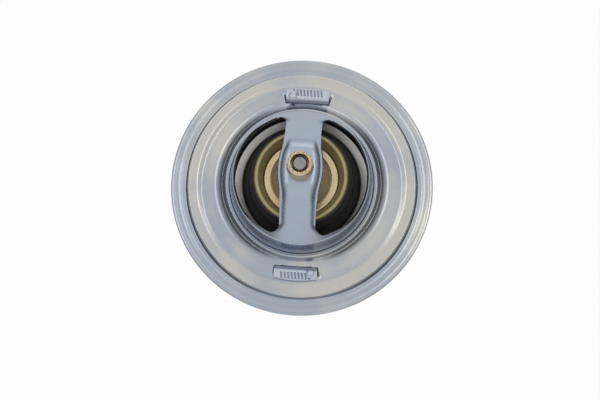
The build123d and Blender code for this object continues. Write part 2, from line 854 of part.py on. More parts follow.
os.makedirs("parts", exist_ok=True)
for name, make in nodes.items():
    export_step(make(), f"parts/{name}.step")
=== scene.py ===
from math import acos, atan2, ceil, cos, hypot, pi, radians, sin, sqrt, tan

import bmesh
import bpy
from bpy.props import FloatProperty, FloatVectorProperty, IntProperty, PointerProperty
from bpy.types import Operator, Panel, PropertyGroup
from mathutils import Matrix, Vector
from mathutils.kdtree import KDTree


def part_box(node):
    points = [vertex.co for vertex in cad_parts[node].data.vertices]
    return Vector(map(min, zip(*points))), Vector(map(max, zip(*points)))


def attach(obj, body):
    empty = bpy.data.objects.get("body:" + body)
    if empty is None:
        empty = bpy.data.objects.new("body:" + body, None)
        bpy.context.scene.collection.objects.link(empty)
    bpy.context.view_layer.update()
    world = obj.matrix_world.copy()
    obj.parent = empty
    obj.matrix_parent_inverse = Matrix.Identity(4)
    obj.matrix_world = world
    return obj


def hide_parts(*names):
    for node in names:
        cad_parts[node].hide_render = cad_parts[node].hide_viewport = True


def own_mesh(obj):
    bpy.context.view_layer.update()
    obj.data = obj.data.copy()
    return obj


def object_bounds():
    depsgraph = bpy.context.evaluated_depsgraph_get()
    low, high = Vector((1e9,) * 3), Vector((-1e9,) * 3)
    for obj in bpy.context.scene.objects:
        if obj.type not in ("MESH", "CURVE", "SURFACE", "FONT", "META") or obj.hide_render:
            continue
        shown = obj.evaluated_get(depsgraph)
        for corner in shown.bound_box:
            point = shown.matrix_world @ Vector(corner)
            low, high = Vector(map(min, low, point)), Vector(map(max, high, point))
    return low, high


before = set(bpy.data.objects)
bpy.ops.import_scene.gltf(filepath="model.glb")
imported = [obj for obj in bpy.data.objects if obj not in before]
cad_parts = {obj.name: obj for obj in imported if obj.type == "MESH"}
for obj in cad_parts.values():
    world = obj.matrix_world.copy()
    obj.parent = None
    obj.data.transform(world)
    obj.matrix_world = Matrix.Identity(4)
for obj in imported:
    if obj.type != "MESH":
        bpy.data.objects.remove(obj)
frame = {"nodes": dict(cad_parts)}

bl_info = {
    "name": "Coolant Thermostat Insert",
    "version": (1, 0, 0),
    "blender": (4, 5, 0),
    "location": "View3D > Sidebar > Insert",
    "description": "Builds a wax-element coolant valve insert on its packed frame, with its studio",
    "category": "Add Mesh",
}

MM = 0.001
# Steps round a turned piece, and round a slim one.
ROUND_SEGMENTS = 256
SMALL_SEGMENTS = 128
# Widest step on a rounded corner, and the fold from which an edge shades sharp.
ARC_STEP = radians(8)
SHARP_ANGLE = radians(32)
# Room between two pieces that are staked together.
FIT_GAP = 0.02 * MM
cad_low, cad_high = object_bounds()
nodes = frame["nodes"]


# Sizes and colours that a user may change.


def length(name, description, millimetres):
    """Length property with its default in millimetres."""
    return FloatProperty(name=name, description=description, default=millimetres * MM, unit="LENGTH", precision=5)


def angle(name, description, degrees):
    """Angle property with its default in degrees."""
    return FloatProperty(
        name=name, description=description, default=radians(degrees), subtype="ANGLE", unit="ROTATION"
    )


def colour(name, description, red, green, blue):
    """Colour property with a linear default."""
    return FloatVectorProperty(
        name=name, description=description, default=(red, green, blue), subtype="COLOR", size=3, min=0.0, max=1.0
    )


class FlangeSizes(PropertyGroup):
    """Sizes of the flange plate"""

    radius: length("Radius", "Outer radius of the rim", 38.0)
    sheet: length("Sheet", "Thickness of the flange's sheet", 1.2)
    bead_radius: length("Bead radius", "Radius of the fine crease round the rim", 35.2)
    bead_width: length("Bead width", "Width of the crease", 1.2)
    bead_height: length("Bead height", "Height of the crease over the rim's hollows", 0.11)
    edge_roll: length("Edge roll", "Width of the rim's sloping edge", 0.85)
    edge_drop: length("Edge drop", "Fall of the rim's sloping edge", 0.14)
    step_foot: length("Step foot", "Radius of the step's foot", 33.45)
    step_head: length("Step head", "Radius of the step's head", 33.1)
    plateau: length("Plateau", "Height of the outer plateau", 3.0)
    rise_outer: length("Rise outside", "Radius where the second rise begins", 30.33)
    rise_inner: length("Rise inside", "Radius where the second rise ends", 28.93)
    inner_plateau: length("Inner plateau", "Height of the inner plateau", 3.35)
    collar_foot: length("Collar foot", "Radius of the collar's foot", 23.5)
    collar_lip: length("Collar lip", "Radius of the collar's lip", 21.94)
    collar_top: length("Collar top", "Height of the collar's lip", 6.1)
    slot_radius: length("Slot radius", "Distance from the axis to the slots for the frame's tabs", 24.21)
    slot_depth: length("Slot depth", "Depth of a slot away from the axis", 1.27)
    slot_width: length("Slot width", "Width of a slot", 12.45)


class BridgeSizes(PropertyGroup):
    """Sizes of the bridge"""

    sheet: length("Sheet", "Thickness of the bridge's sheet", 1.0)
    foot_radius: length("Foot radius", "Radius of the foot trapped under the collar", 22.75)
    foot_top: length("Foot top", "Height of the foot's upper side", 3.15)
    foot_bend: length("Foot bend", "Radius of the bend from the foot up to the wall", 0.8)
    rim_radius: length("Window rim radius", "Outer radius of the ring wall at the windows' rim", 19.75)
    rim_height: length("Window rim height", "Height of the windows' rim", 13.1)
    sill_drop: length("Sill drop", "Drop of the windows' sill under the rim line", 0.4)
    wall_lean: angle("Wall lean", "Lean of the ring wall off the axis", 8.9)
    shoulder_lean: angle("Shoulder lean", "Slope of the shoulder over the rim", 48.0)
    platform: length("Platform height", "Height of the strap's flat middle", 25.4)
    platform_half: length("Platform half length", "Half the length of the strap's flat middle", 6.8)
    bend: length("Bend", "Height over which the legs bend into the platform", 2.4)
    shoulder: length("Shoulder", "Radius of the strap's rounded shoulders", 3.2)
    cut_edge: FloatProperty(name="Cut edge", description="Share of the sheet left at the windows' edge", default=0.3)
    taper: length("Taper", "Distance over which the sheet thins towards the windows' edge", 0.9)
    belly_half: length("Belly half width", "Half the strap's width under the bush", 6.6)
    waist_half: length("Waist half width", "Half the strap's width at its waist", 5.15)
    waist_start: length("Waist start", "Distance from the axis where the waist begins", 11.5)
    leg_depth: length("Leg depth", "Depth of the rounded sides along the legs", 1.2)
    belly_depth: length("Belly depth", "Depth of the strap's side flanges under the bush", 4.9)
    flare: length("Flare", "Radius of the windows' corners", 2.2)
    lip: length("Lip", "Width of the lip that the ring turns in along its windows", 0.35)
    foot_lip: length("Foot lip", "Width of the lip at the windows' corners", 1.1)
    lip_end: angle("Lip end", "Angle off the strap where the lip is back to its width", 56.0)


class BushSizes(PropertyGroup):
    """Sizes of the bush and the fixed pin"""

    skirt: length("Skirt", "Radius of the bush's skirt under the strap", 4.1)
    skirt_depth: length("Skirt depth", "Depth of the skirt under the strap", 2.4)
    neck: length("Neck", "Radius of the bush inside the strap", 3.0)
    foot: length("Foot", "Radius of the bush's foot", 3.9)
    tip: length("Tip", "Radius of the bush's tip", 3.6)
    top: length("Top", "Height of the bush", 30.6)
    cone_foot: length("Cone foot", "Height over the strap where the bush begins to narrow", 0.8)
    cone_head: length("Cone head", "Depth below the bush's top where it stops narrowing", 0.7)
    chamfer: length("Chamfer", "Chamfer at the bush's tip", 0.3)
    open_bore: length("Open bore", "Radius of the bush's open bore", 2.65)
    bore_depth: length("Bore depth", "Depth of the open bore over the pin", 5.0)
    stakes: IntProperty(name="Stakes", description="Staking marks round the bush's tip", default=14)
    stake_height: length("Stake height", "Height of the staked band at the bush's tip", 0.9)
    stake_depth: length("Stake depth", "Depth of a staking mark towards the axis", 0.15)
    stake_drop: length("Stake drop", "Depth of a staking mark in the bush's top", 0.2)
    pin: length("Pin", "Radius of the fixed pin", 2.15)
    pin_top: length("Pin top", "Height of the pin's upper end", 30.1)
    pin_tip: length("Pin tip", "Height of the pin's lower end", -11.8)
    pin_point: length("Pin point", "Radius of the pin's lower end", 0.75)
    pin_taper: length("Pin taper", "Length of the pin's tapered end", 2.0)
    pin_chamfer: length("Pin chamfer", "Chamfer at the pin's upper end", 0.4)
    bore: length("Bore", "Radius of the bores that the pin runs in", 2.2)


class SeatSizes(PropertyGroup):
    """Sizes of the seat ring"""

    outer: length("Outside", "Outer radius of the seat ring", 26.79)
    top: length("Top", "Height of the seat ring's flat part, under the flange", 2.15)
    neck_foot: length("Neck foot", "Radius of the foot of the seat's neck", 19.88)
    neck_head: length("Neck head", "Radius of the head of the seat's neck", 19.68)
    bore: length("Bore", "Bore of the seat's lip", 17.0)
    lip: length("Lip", "Height of the seat's lip", 4.0)
    crest: length("Crest", "Height of the seat's crest", 4.8)
    sheet: length("Sheet", "Thickness of the seat's sheet", 0.8)
    slot_radius: length("Slot radius", "Distance from the axis to the seat ring's slots", 23.89)
    slot_depth: length("Slot depth", "Depth of the seat ring's slots away from the axis", 1.9)
    slot_width: length("Slot width", "Width of the seat ring's slots", 13.1)


class ValveSizes(PropertyGroup):
    """Sizes of the valve plate and its rubber cone"""

    sheet: length("Plate sheet", "Thickness of the valve plate", 0.6)
    flange: length("Plate flange", "Radius of the valve plate's spring flange", 17.41)
    flange_height: length("Flange height", "Height of the spring flange's upper side", 2.2)
    wall: length("Wall radius", "Outer radius of the valve plate's wall", 13.5)
    crest: length("Crest height", "Height of the valve plate's rolled crest", 14.1)
    crest_roll: length("Crest roll", "Radius of the rolled crest", 0.6)
    dish: length("Dish depth", "Depth of the dish inside the crest", 2.8)
    collar: length("Plate collar", "Length of the collar that grips the element", 4.4)
    rubber: length("Rubber", "Thickness of the rubber on the spring flange", 0.8)
    rubber_top: length("Rubber top", "Depth of the rubber's upper edge below the crest", 0.9)
    rubber_edge: length("Rubber edge", "Thickness of the rubber at its upper edge", 0.45)
    cone_foot: length("Cone foot", "Height of the foot of the rubber's cone", 3.01)
    cone_foot_radius: length("Cone foot radius", "Radius of the cone's foot", 17.35)
    cone_knee: length("Cone knee", "Height from which the cone is straight", 3.82)
    cone_knee_radius: length("Cone knee radius", "Radius from which the cone is straight", 16.77)
    spring_seat: length("Spring seat", "Height of the main spring's seat in the rubber", 1.3)
    spring_lip: length("Spring lip", "Depth of the rubber lip round the spring", 0.4)
    lip_inside: length("Lip inside", "Distance of the lip's inner side from the spring flange's edge", 0.5)
    bead_height: length("Bead height", "Height of the rubber's bead", 8.6)
    bead_radius: length("Bead radius", "Radius of the rubber's bead", 15.05)
    bead_size: length("Bead size", "Radius of the bead's section", 0.3)


class ElementSizes(PropertyGroup):
    """Sizes of the wax element's cup and guide"""

    cup: length("Cup", "Outer radius of the cup", 8.6)
    cup_bottom: length("Cup bottom", "Height of the cup's bottom", -27.0)
    wall: length("Cup wall", "Thickness of the cup's wall", 0.8)
    crimp: length("Crimp", "Outer radius of the cup's rolled top", 10.95)
    crimp_shoulder: length("Crimp shoulder", "Height of the crimp's underside", 5.5)
    crimp_top: length("Crimp top", "Height of the crimp's top", 11.0)
    eye: length("Eye", "Radius of the crimp's eye", 8.6)
    guide_foot: length("Guide foot", "Height of the guide's underside", 7.4)
    guide_cone: length("Guide cone", "Height of the guide's cone over the crimp's underside", 4.2)
    guide_chamfer: length("Guide chamfer", "Chamfer at the cone's foot", 0.5)
    guide_neck: length("Guide neck", "Radius of the guide's neck", 4.6)
    guide_top: length("Guide top", "Height of the guide's neck", 20.2)
    wiper_depth: length("Wiper depth", "Depth of the wiper's recess in the guide's mouth", 1.8)
    wiper_recess: length("Wiper recess", "Radius of the wiper's recess", 3.3)
    washer_recess: length("Washer recess", "Radius of the recess over the backup washer", 4.0)
    washer_depth: length("Washer depth", "Depth of the recess over the backup washer", 1.2)


class SpringSizes(PropertyGroup):
    """Sizes of both springs"""

    wire: length("Wire", "Diameter of the main spring's wire", 2.4)
    radius: length("Mean radius", "Mean radius of the main spring", 15.5)
    turns: FloatProperty(name="Turns", description="Turns of the main spring, the closed ends too", default=5.25)
    bypass_wire: length("Bypass wire", "Diameter of the bypass spring's wire", 1.2)
    bypass_radius: length("Bypass mean radius", "Mean radius of the bypass spring", 6.3)
    bypass_turns: FloatProperty(name="Bypass turns", description="Turns of the bypass spring", default=6.0)
    closed: FloatProperty(name="Closed turns", description="Closed turns at each end of a spring", default=0.9)


class BypassSizes(PropertyGroup):
    """Sizes of the bypass stem, disc and spring cup"""

    stem: length("Stem", "Radius of the stem", 2.5)
    head: length("Head", "Radius of the stem's head", 5.0)
    disc: length("Disc", "Radius of the bypass disc", 15.2)
    sheet: length("Disc sheet", "Thickness of the bypass disc", 1.0)
    hub: length("Hub", "Radius of the disc's raised hub", 8.9)
    hub_top: length("Hub top", "Height of the disc's hub", -40.6)
    dish: length("Dish", "Depth of the disc's dish", 2.6)
    rim: length("Rim", "Width of the disc's flat rim", 3.4)
    collar: length("Disc collar", "Height of the collar that guides the disc on the stem", 2.4)
    head_depth: length("Head depth", "Thickness of the stem's head", 1.2)
    clip_drop: length("Clip drop", "Depth of the clip's groove below the hub", 1.8)
    clip_width: length("Clip width", "Width of the clip's groove", 0.8)
    clip_depth: length("Clip depth", "Depth of the clip's groove", 0.5)
    end_drop: length("Stem end", "Length of the stem below the top of the clip's groove", 1.6)
    end_chamfer: length("Stem chamfer", "Chamfer at the stem's end", 0.4)
    play: length("Stem play", "Room between the stem and what slides on it", 0.1)
    cup: length("Spring cup", "Outer radius of the spring cup", 7.0)
    cup_sheet: length("Spring cup sheet", "Thickness of the spring cup", 1.0)
    cup_depth: length("Spring cup depth", "Depth of the spring cup", 1.6)


class FinishColours(PropertyGroup):
    """Colours of the finishes"""

    steel: colour("Steel", "Satin pressed steel", 0.35, 0.39, 0.45)
    # Paler warm tint of the steel; on the flange, rings of it by radius are painted reflection.
    warm_tint_and_sheen: colour("Warm steel", "Warm tint in the pressed steel", 0.51, 0.50, 0.475)
    frame: colour("Frame steel", "Brighter steel of the lower frame", 0.50, 0.53, 0.58)
    steel_cool: colour("Cool steel", "Cool tint in the pressed steel", 0.38, 0.43, 0.53)
    seat: colour("Seat", "Bright steel of the valve seat", 0.42, 0.41, 0.41)
    passivate: colour("Passivated zinc", "Olive passivated steel of the valve plate", 0.29, 0.26, 0.14)
    passivate_pale: colour("Pale passivated zinc", "Paler patches of the passivated steel", 0.42, 0.35, 0.18)
    brass: colour("Brass", "Drawn brass of the cup", 0.52, 0.39, 0.19)
    bush: colour("Bush", "Pale brass of the bush", 0.68, 0.58, 0.42)
    guide: colour("Guide", "Darkened brass of the guide", 0.48, 0.39, 0.28)
    rubber: colour("Rubber", "Black moulded rubber", 0.018, 0.016, 0.015)
    wire: colour("Wire", "Drawn spring wire", 0.30, 0.30, 0.31)
    pin: colour("Pin", "Ground steel pin", 0.22, 0.22, 0.22)


class StageSettings(PropertyGroup):
    """Place of the camera and the floor"""

    elevation: angle("Elevation", "Height of the camera over the horizon", 77.0)
    azimuth: angle("Azimuth", "Turn of the camera about the axis", 9.0)
    roll: angle("Roll", "Turn of the picture, anticlockwise", 5.2)
    distance: length("Distance", "Distance of the camera from the flange", 900.0)
    lens: FloatProperty(name="Lens", description="Focal length", default=186.0, unit="CAMERA")
    scale: length("Pixel", "Size of one picture element at the flange", 0.2905)
    shift_right: FloatProperty(name="Right", description="Pixels from picture centre to flange", default=1.84)
    shift_up: FloatProperty(name="Up", description="Pixels from picture centre up to flange", default=13.0)
    floor_drop: length("Floor drop", "Room between the closed insert and the floor, for the open valve", 10.0)


# Outlines of radius and height, and the pieces turned from them.


def direction(start, end):
    """Unit step from one point towards another."""
    run = hypot(end[0] - start[0], end[1] - start[1])
    return (end[0] - start[0]) / run, (end[1] - start[1]) / run


def between(start, end, share):
    """Point at a share of the way from one point to another."""
    return start[0] + (end[0] - start[0]) * share, start[1] + (end[1] - start[1]) * share


def offset_points(points, distance):
    """The points of an open outline moved to its left, with mitred corners."""
    normals = [(-run[1], run[0]) for run in map(direction, points, points[1:])]
    moved = []
    for index, (x, y) in enumerate(points):
        before = normals[max(index - 1, 0)]
        after = normals[min(index, len(normals) - 1)]
        share = distance / (1 + before[0] * after[0] + before[1] * after[1])
        moved.append((x + (before[0] + after[0]) * share, y + (before[1] + after[1]) * share))
    return moved


def corner_arc(before, corner, after, radius):
    """Points of the arc that rounds a corner."""
    arrive = direction(before, corner)
    leave = direction(corner, after)
    turn = acos(max(-1.0, min(1.0, arrive[0] * leave[0] + arrive[1] * leave[1])))
    if radius <= 0 or turn < 0.001:
        return [corner]
    reach = radius * tan(turn / 2)
    side = 1 if arrive[0] * leave[1] - arrive[1] * leave[0] > 0 else -1
    start = (corner[0] - arrive[0] * reach, corner[1] - arrive[1] * reach)
    centre = (start[0] - side * arrive[1] * radius, start[1] + side * arrive[0] * radius)
    steps = max(2, ceil(turn / ARC_STEP))
    arc = []
    for step in range(steps + 1):
        swing = side * turn * step / steps
        x, y = start[0] - centre[0], start[1] - centre[1]
        arc.append((centre[0] + x * cos(swing) - y * sin(swing), centre[1] + x * sin(swing) + y * cos(swing)))
    return arc


def rounded(points, rounds, hold=0.12 * MM):
    """Closed outline with arcs at its corners, and a point close to each end of a long run."""
    count = len(points)
    arcs = []
    for index in range(count):
        arcs.append(corner_arc(points[index - 1], points[index], points[(index + 1) % count], rounds[index]))
    outline = []
    for index, arc in enumerate(arcs):
        outline += arc
        start, end = arc[-1], arcs[(index + 1) % count][0]
        run = hypot(end[0] - start[0], end[1] - start[1])
        if run > 4 * hold:
            outline += [between(start, end, hold / run), between(start, end, 1 - hold / run)]
    return outline


def profile(corners):
    """Closed outline of corners, each given by its radius, its height and its own round in millimetres."""
    return rounded([corner[:2] for corner in corners], [corner[2] * MM for corner in corners])


def sheet_section(points, bends, sheet, end_round=0.0):
    """Rounded outline of a bent sheet whose face follows the points. Its back lies to their left."""
    side = 1 if sheet > 0 else -1
    back_bends = []
    for index, bend in enumerate(bends):
        before = direction(points[index], points[index + 1])
        after = direction(points[index + 1], points[index + 2])
        turn = before[0] * after[1] - before[1] * after[0]
        back_bends.append(max(bend - abs(sheet), 0.0) if turn * side > 0 else bend + abs(sheet))
    outline = points + offset_points(points, sheet)[::-1]
    return rounded(outline, [end_round, *bends, end_round, end_round, *back_bends[::-1], end_round])


def new_piece(name, mesh_source):
    """Object at the origin with the mesh of a bmesh, smooth except at its sharp edges."""
    for edge in mesh_source.edges:
        edge.smooth = len(edge.link_faces) == 2 and edge.calc_face_angle(0.0) < SHARP_ANGLE
    for face in mesh_source.faces:
        face.smooth = True
    mesh = bpy.data.meshes.new(name)
    mesh_source.to_mesh(mesh)
    mesh_source.free()
    piece = bpy.data.objects.new(name, mesh)
    bpy.context.scene.collection.objects.link(piece)
    return piece


def turned(name, outline, segments=ROUND_SEGMENTS, shape=None):
    """Piece turned about Z from a closed outline of radius and height."""
    made = bmesh.new()
    rings = []
    for step in range(segments):
        swing = 2 * pi * step / segments
        ring = []
        for radius, height in outline:
            if shape:
                radius, height = shape(swing, radius, height)
            ring.append(made.verts.new((radius * cos(swing), radius * sin(swing), height)))
        rings.append(ring)
    count = len(outline)
    for step, ring in enumerate(rings):
        following = rings[(step + 1) % segments]
        for index in range(count):
            other = (index + 1) % count
            made.faces.new((ring[index], ring[other], following[other], following[index]))
    bmesh.ops.remove_doubles(made, verts=made.verts, dist=0.0001 * MM)
    bmesh.ops.dissolve_degenerate(made, dist=0.00001 * MM, edges=made.edges)
    bmesh.ops.recalc_face_normals(made, faces=made.faces)
    return new_piece(name, made)


def fit(piece, body, slot, material, *replaced):
    """Puts a finished piece on its body, with its finish, in place of the nodes that it stands for."""
    piece.data.materials.clear()
    piece.data.materials.append(material)
    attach(piece, body)
    if replaced:
        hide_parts(*replaced)
    return piece


def settled(piece):
    """The piece with its modifiers worked into its mesh."""
    evaluated = piece.evaluated_get(bpy.context.evaluated_depsgraph_get())
    mesh = bpy.data.meshes.new_from_object(evaluated)
    piece.modifiers.clear()
    piece.data = mesh
    return piece


def cut_slots(piece, sizes, low, high):
    """Cuts the two openings that the lower frame's tabs pass through, between two heights."""
    cutter = bmesh.new()
    for side in (-1, 1):
        centre = Vector((0.0, side * (sizes.slot_radius + sizes.slot_depth / 2), (low + high) / 2))
        size = Matrix.Diagonal((sizes.slot_width, sizes.slot_depth, high - low, 1))
        bmesh.ops.create_cube(cutter, size=1.0, matrix=Matrix.Translation(centre) @ size)
    tool = new_piece("slot_tool", cutter)
    modifier = piece.modifiers.new("slots", "BOOLEAN")
    modifier.operation = "DIFFERENCE"
    modifier.solver = "EXACT"
    modifier.object = tool
    settled(piece)
    bpy.data.objects.remove(tool)
    return piece


# Finishes.


def add_node(tree, kind, settings=None, **values):
    """New node with its properties and its unlinked inputs set."""
    node = tree.nodes.new(kind)
    for name, value in (settings or {}).items():
        setattr(node, name, value)
    for name, value in values.items():
        node.inputs[name.replace("_", " ")].default_value = value
    return node


def carried(tree, value, settings=None, **ranges):
    """Socket with a value carried from one range to another."""
    node = add_node(tree, "ShaderNodeMapRange", settings, **ranges)
    tree.links.new(value, node.inputs["Value"])
    return node.outputs["Result"]


def set_stops(ramp, stops):
    """Gives a colour ramp its positions and grey levels."""
    elements = ramp.color_ramp.elements
    while len(elements) < len(stops):
        elements.new(0.5)
    for element, (position, level) in zip(elements, stops):
        element.position = position
        element.color = (level, level, level, 1.0)


def two_colours(tree, share, first, second, low, high):
    """Socket with the blend of two colours, from the first at the low share to the second at the high one."""
    ramp = add_node(tree, "ShaderNodeValToRGB")
    for element, colour_there, position in zip(ramp.color_ramp.elements, (first, second), (low, high)):
        element.position = position
        element.color = (*colour_there, 1.0)
    tree.links.new(share, ramp.inputs["Fac"])
    return ramp.outputs["Color"]


def tint_share(tree, place, slow, sheen_bands):
    """Socket with the share of the second tint: slow noise, raised on some rings of the radius and lowered on others
    as painted reflection and shade.
    """
    if not sheen_bands:
        return slow.outputs["Fac"]
    flat = add_node(tree, "ShaderNodeVectorMath", {"operation": "MULTIPLY"})
    flat.inputs[1].default_value = (1.0, 1.0, 0.0)
    tree.links.new(place.outputs["Object"], flat.inputs[0])
    radius = add_node(tree, "ShaderNodeVectorMath", {"operation": "LENGTH"})
    tree.links.new(flat.outputs["Vector"], radius.inputs[0])
    outermost = sheen_bands[-1][0]
    # Painted reflection and shade: a ramp of tint share by radius, lighter on some rings and darker on others.
    levels = add_node(tree, "ShaderNodeValToRGB")
    set_stops(levels, [(band_radius / outermost, level) for band_radius, level in sheen_bands])
    tree.links.new(carried(tree, radius.outputs["Value"], From_Max=outermost), levels.inputs["Fac"])
    total = add_node(tree, "ShaderNodeMath", {"operation": "ADD"})
    tree.links.new(slow.outputs["Fac"], total.inputs[0])
    tree.links.new(carried(tree, levels.outputs["Color"], To_Min=-0.25, To_Max=0.25), total.inputs[1])
    return total.outputs["Value"]


def new_finish(name):
    """New material, with its node tree and its shader."""
    material = bpy.data.materials.new(name)
    material.use_nodes = True
    return material, material.node_tree, material.node_tree.nodes["Principled BSDF"]


def metal(name, base, tint, roughness, metallic=1.0, grain=0.015, patch=70.0, patch_share=0.6, sheen_bands=()):
    """Satin metal with slow patches of a second tint, rings of it by radius as painted reflection and shade, and a
    fine grain.
    """
    material, tree, shader = new_finish(name)
    shader.inputs["Metallic"].default_value = metallic
    place = add_node(tree, "ShaderNodeTexCoord")
    slow = add_node(tree, "ShaderNodeTexNoise", Scale=patch, Detail=4.0, Roughness=0.55)
    fine = add_node(tree, "ShaderNodeTexNoise", Scale=1500.0, Detail=3.0, Roughness=0.6)
    for noise in (slow, fine):
        tree.links.new(place.outputs["Object"], noise.inputs["Vector"])
    share = tint_share(tree, place, slow, sheen_bands)
    mixed = two_colours(tree, share, base, tint, 0.5 - patch_share / 2, 0.5 + patch_share / 2)
    tree.links.new(mixed, shader.inputs["Base Color"])
    rough = carried(
        tree, fine.outputs["Fac"], From_Min=0.3, From_Max=0.7, To_Min=roughness * 0.85, To_Max=roughness * 1.15
    )
    tree.links.new(rough, shader.inputs["Roughness"])
    bump = add_node(tree, "ShaderNodeBump", Strength=grain, Distance=0.1 * MM)
    tree.links.new(fine.outputs["Fac"], bump.inputs["Height"])
    tree.links.new(bump.outputs["Normal"], shader.inputs["Normal"])
    return material


def rubber(name, base):
    """Moulded rubber with a faint bloom."""
    material, tree, shader = new_finish(name)
    shader.inputs["Specular IOR Level"].default_value = 0.4
    place = add_node(tree, "ShaderNodeTexCoord")
    bloom = add_node(tree, "ShaderNodeTexNoise", Scale=240.0, Detail=5.0)
    tree.links.new(place.outputs["Object"], bloom.inputs["Vector"])
    pale = [min(1.0, part * 2.2) for part in base]
    tree.links.new(two_colours(tree, bloom.outputs["Fac"], base, pale, 0.45, 1.0), shader.inputs["Base Color"])
    tree.links.new(carried(tree, bloom.outputs["Fac"], To_Min=0.42, To_Max=0.62), shader.inputs["Roughness"])
    return material


def finishes():
    """The insert's finishes, made once and found again by name."""
    colours = bpy.context.scene.insert_colours
    if "Satin flange steel" not in bpy.data.materials:
        # Radius and share of the paler warm tint, as painted reflection and shade: high on the outer plateau, which
        # reads lighter, and low on the collar and the rim, which read darker.
        sheen_bands = (
            (0.0, 0.3), (24.0 * MM, 0.3), (26.5 * MM, 0.5), (28.9 * MM, 0.35), (29.7 * MM, 0.7),
            (32.9 * MM, 0.65), (33.4 * MM, 0.3), (38.0 * MM, 0.4),
        )
        metal(
            "Satin flange steel", colours.steel, colours.warm_tint_and_sheen, 0.21, patch=36.0, patch_share=0.22, sheen_bands=sheen_bands
        )
        metal("Satin bridge steel", colours.steel_cool, colours.steel, 0.25, grain=0.005)
        metal("Seat steel", colours.seat, colours.warm_tint_and_sheen, 0.34)
        metal("Frame steel", colours.frame, colours.steel_cool, 0.32)
        metal("Passivated steel", colours.passivate, colours.passivate_pale, 0.36, 0.5, patch=160.0)
        metal("Drawn brass", colours.brass, colours.bush, 0.27, 0.85)
        metal("Bush brass", colours.bush, colours.brass, 0.26, 0.9, patch=400.0)
        metal("Darkened brass", colours.guide, colours.passivate_pale, 0.35, 0.5, patch=200.0)
        metal("Spring wire", colours.wire, colours.steel, 0.28, patch=300.0)
        metal("Ground steel", colours.pin, colours.wire, 0.30, patch=500.0)
        rubber("Black rubber", colours.rubber)
    return bpy.data.materials


# The bridge's skin.


def smooth_lower(first, second, blend):
    """The lower of two heights, with the crease between them rounded."""
    overlap = max(blend - abs(first - second), 0.0) / blend
    return min(first, second) - overlap * overlap * blend / 4


class BridgeShape:
    """Outer skin of the bridge: ring wall, flared feet, sloping legs and platform."""

    # Heights over which the wall passes into the shoulder, and both into the strap.
    rim_blend = 0.5 * MM
    crown_blend = 1.0 * MM

    def __init__(self, sizes):
        self.sizes = sizes
        self.slope = (sizes.platform - sizes.rim_height) / (sizes.rim_radius - sizes.platform_half)
        self.sill = sizes.rim_height - sizes.sill_drop
        self.sill_radius = self.wall_radius(self.sill)
        self.foot_radius = self.sill_radius - sizes.foot_lip
        self.flare_x = sizes.waist_half + sizes.flare
        self.flare_y = sqrt((self.foot_radius - sizes.flare) ** 2 - self.flare_x ** 2)
        self.flare_start = atan2(self.flare_y, self.flare_x)
        self.tip_x = self.foot_radius * cos(self.flare_start)
        self.tip_y = self.foot_radius * sin(self.flare_start)

    def wall_radius(self, height):
        """Radius of the ring's sloping wall at a height."""
        return self.sizes.rim_radius + (self.sizes.rim_height - height) * tan(self.sizes.wall_lean)

    def height(self, x, y):
        """Height of the skin over the ring's bore."""
        sizes = self.sizes
        radius = hypot(x, y)
        roof = sizes.rim_height + (sizes.rim_radius - abs(y)) * self.slope
        strap = smooth_lower(sizes.platform, roof, sizes.bend)
        wall = sizes.rim_height + (sizes.rim_radius - radius) / tan(sizes.wall_lean)
        shoulder = sizes.rim_height + (sizes.rim_radius - radius) * tan(sizes.shoulder_lean)
        return smooth_lower(strap, smooth_lower(wall, shoulder, self.rim_blend), self.crown_blend)

    def lip_radius(self, swing, share):
        """Radius of the ring's lip at an angle, from the sill at share 0 to the window's edge at 1."""
        off_strap = pi / 2 - atan2(abs(sin(swing)), abs(cos(swing)))
        near = (self.sizes.lip_end - off_strap) / (self.sizes.lip_end - (pi / 2 - self.flare_start))
        near = min(max(near, 0.0), 1.0)
        near = near * near * (3 - 2 * near)
        return self.sill_radius - share * (self.sizes.lip + (self.sizes.foot_lip - self.sizes.lip) * near)

    def belly(self, y):
        """Share of the belly's width and depth at a distance along the strap."""
        return cos(min(abs(y) / self.sizes.waist_start, 1.0) * pi / 2) ** 2

    def section_point(self, across, width, depth):
        """Sideways place and drop of a point on the strap's section, by its share of the skin."""
        shoulder = self.sizes.shoulder
        turn = pi / 2 if depth >= shoulder else acos(1 - depth / shoulder)
        flat = width - shoulder * sin(turn)
        run = abs(across) * (flat + shoulder * turn + max(depth - shoulder, 0.0))
        side = 1 if across >= 0 else -1
        if run <= flat:
            return side * run, 0.0
        swing = min((run - flat) / shoulder, turn)
        reach = max(run - flat - shoulder * turn, 0.0)
        return side * (flat + shoulder * sin(swing)), shoulder * (1 - cos(swing)) + reach

    def strap_point(self, across, y):
        """Point of the strap's skin at a share of its width and a distance along it."""
        sizes = self.sizes
        share = self.belly(y)
        width = sizes.waist_half + (sizes.belly_half - sizes.waist_half) * share
        depth = sizes.leg_depth + (sizes.belly_depth - sizes.leg_depth) * share
        x, drop = self.section_point(across, width, depth)
        return Vector((x, y, self.height(0.0, y) - drop))

    def foot_point(self, across, rise):
        """Point of a foot's skin, from the ring's lip at 0 to the strap's waist at 1."""
        sizes = self.sizes
        swing = self.flare_start + (pi - self.flare_start) * rise
        edge_x = self.flare_x + sizes.flare * cos(swing)
        edge_y = self.flare_y + sizes.flare * sin(swing)
        middle_y = self.foot_radius + (self.flare_y - self.foot_radius) * rise
        lip_y = sqrt(self.foot_radius ** 2 - (across * self.tip_x) ** 2)
        arch = (lip_y - self.tip_y) / (self.foot_radius - self.tip_y)
        y = edge_y + (middle_y - edge_y) * arch
        x, drop = self.section_point(across, edge_x, sizes.leg_depth)
        fade = rise * rise
        x += (across * edge_x - x) * (1 - fade)
        return Vector((x, y, self.height(x, y) * (1 - fade) + fade * (self.height(0.0, y) - drop)))


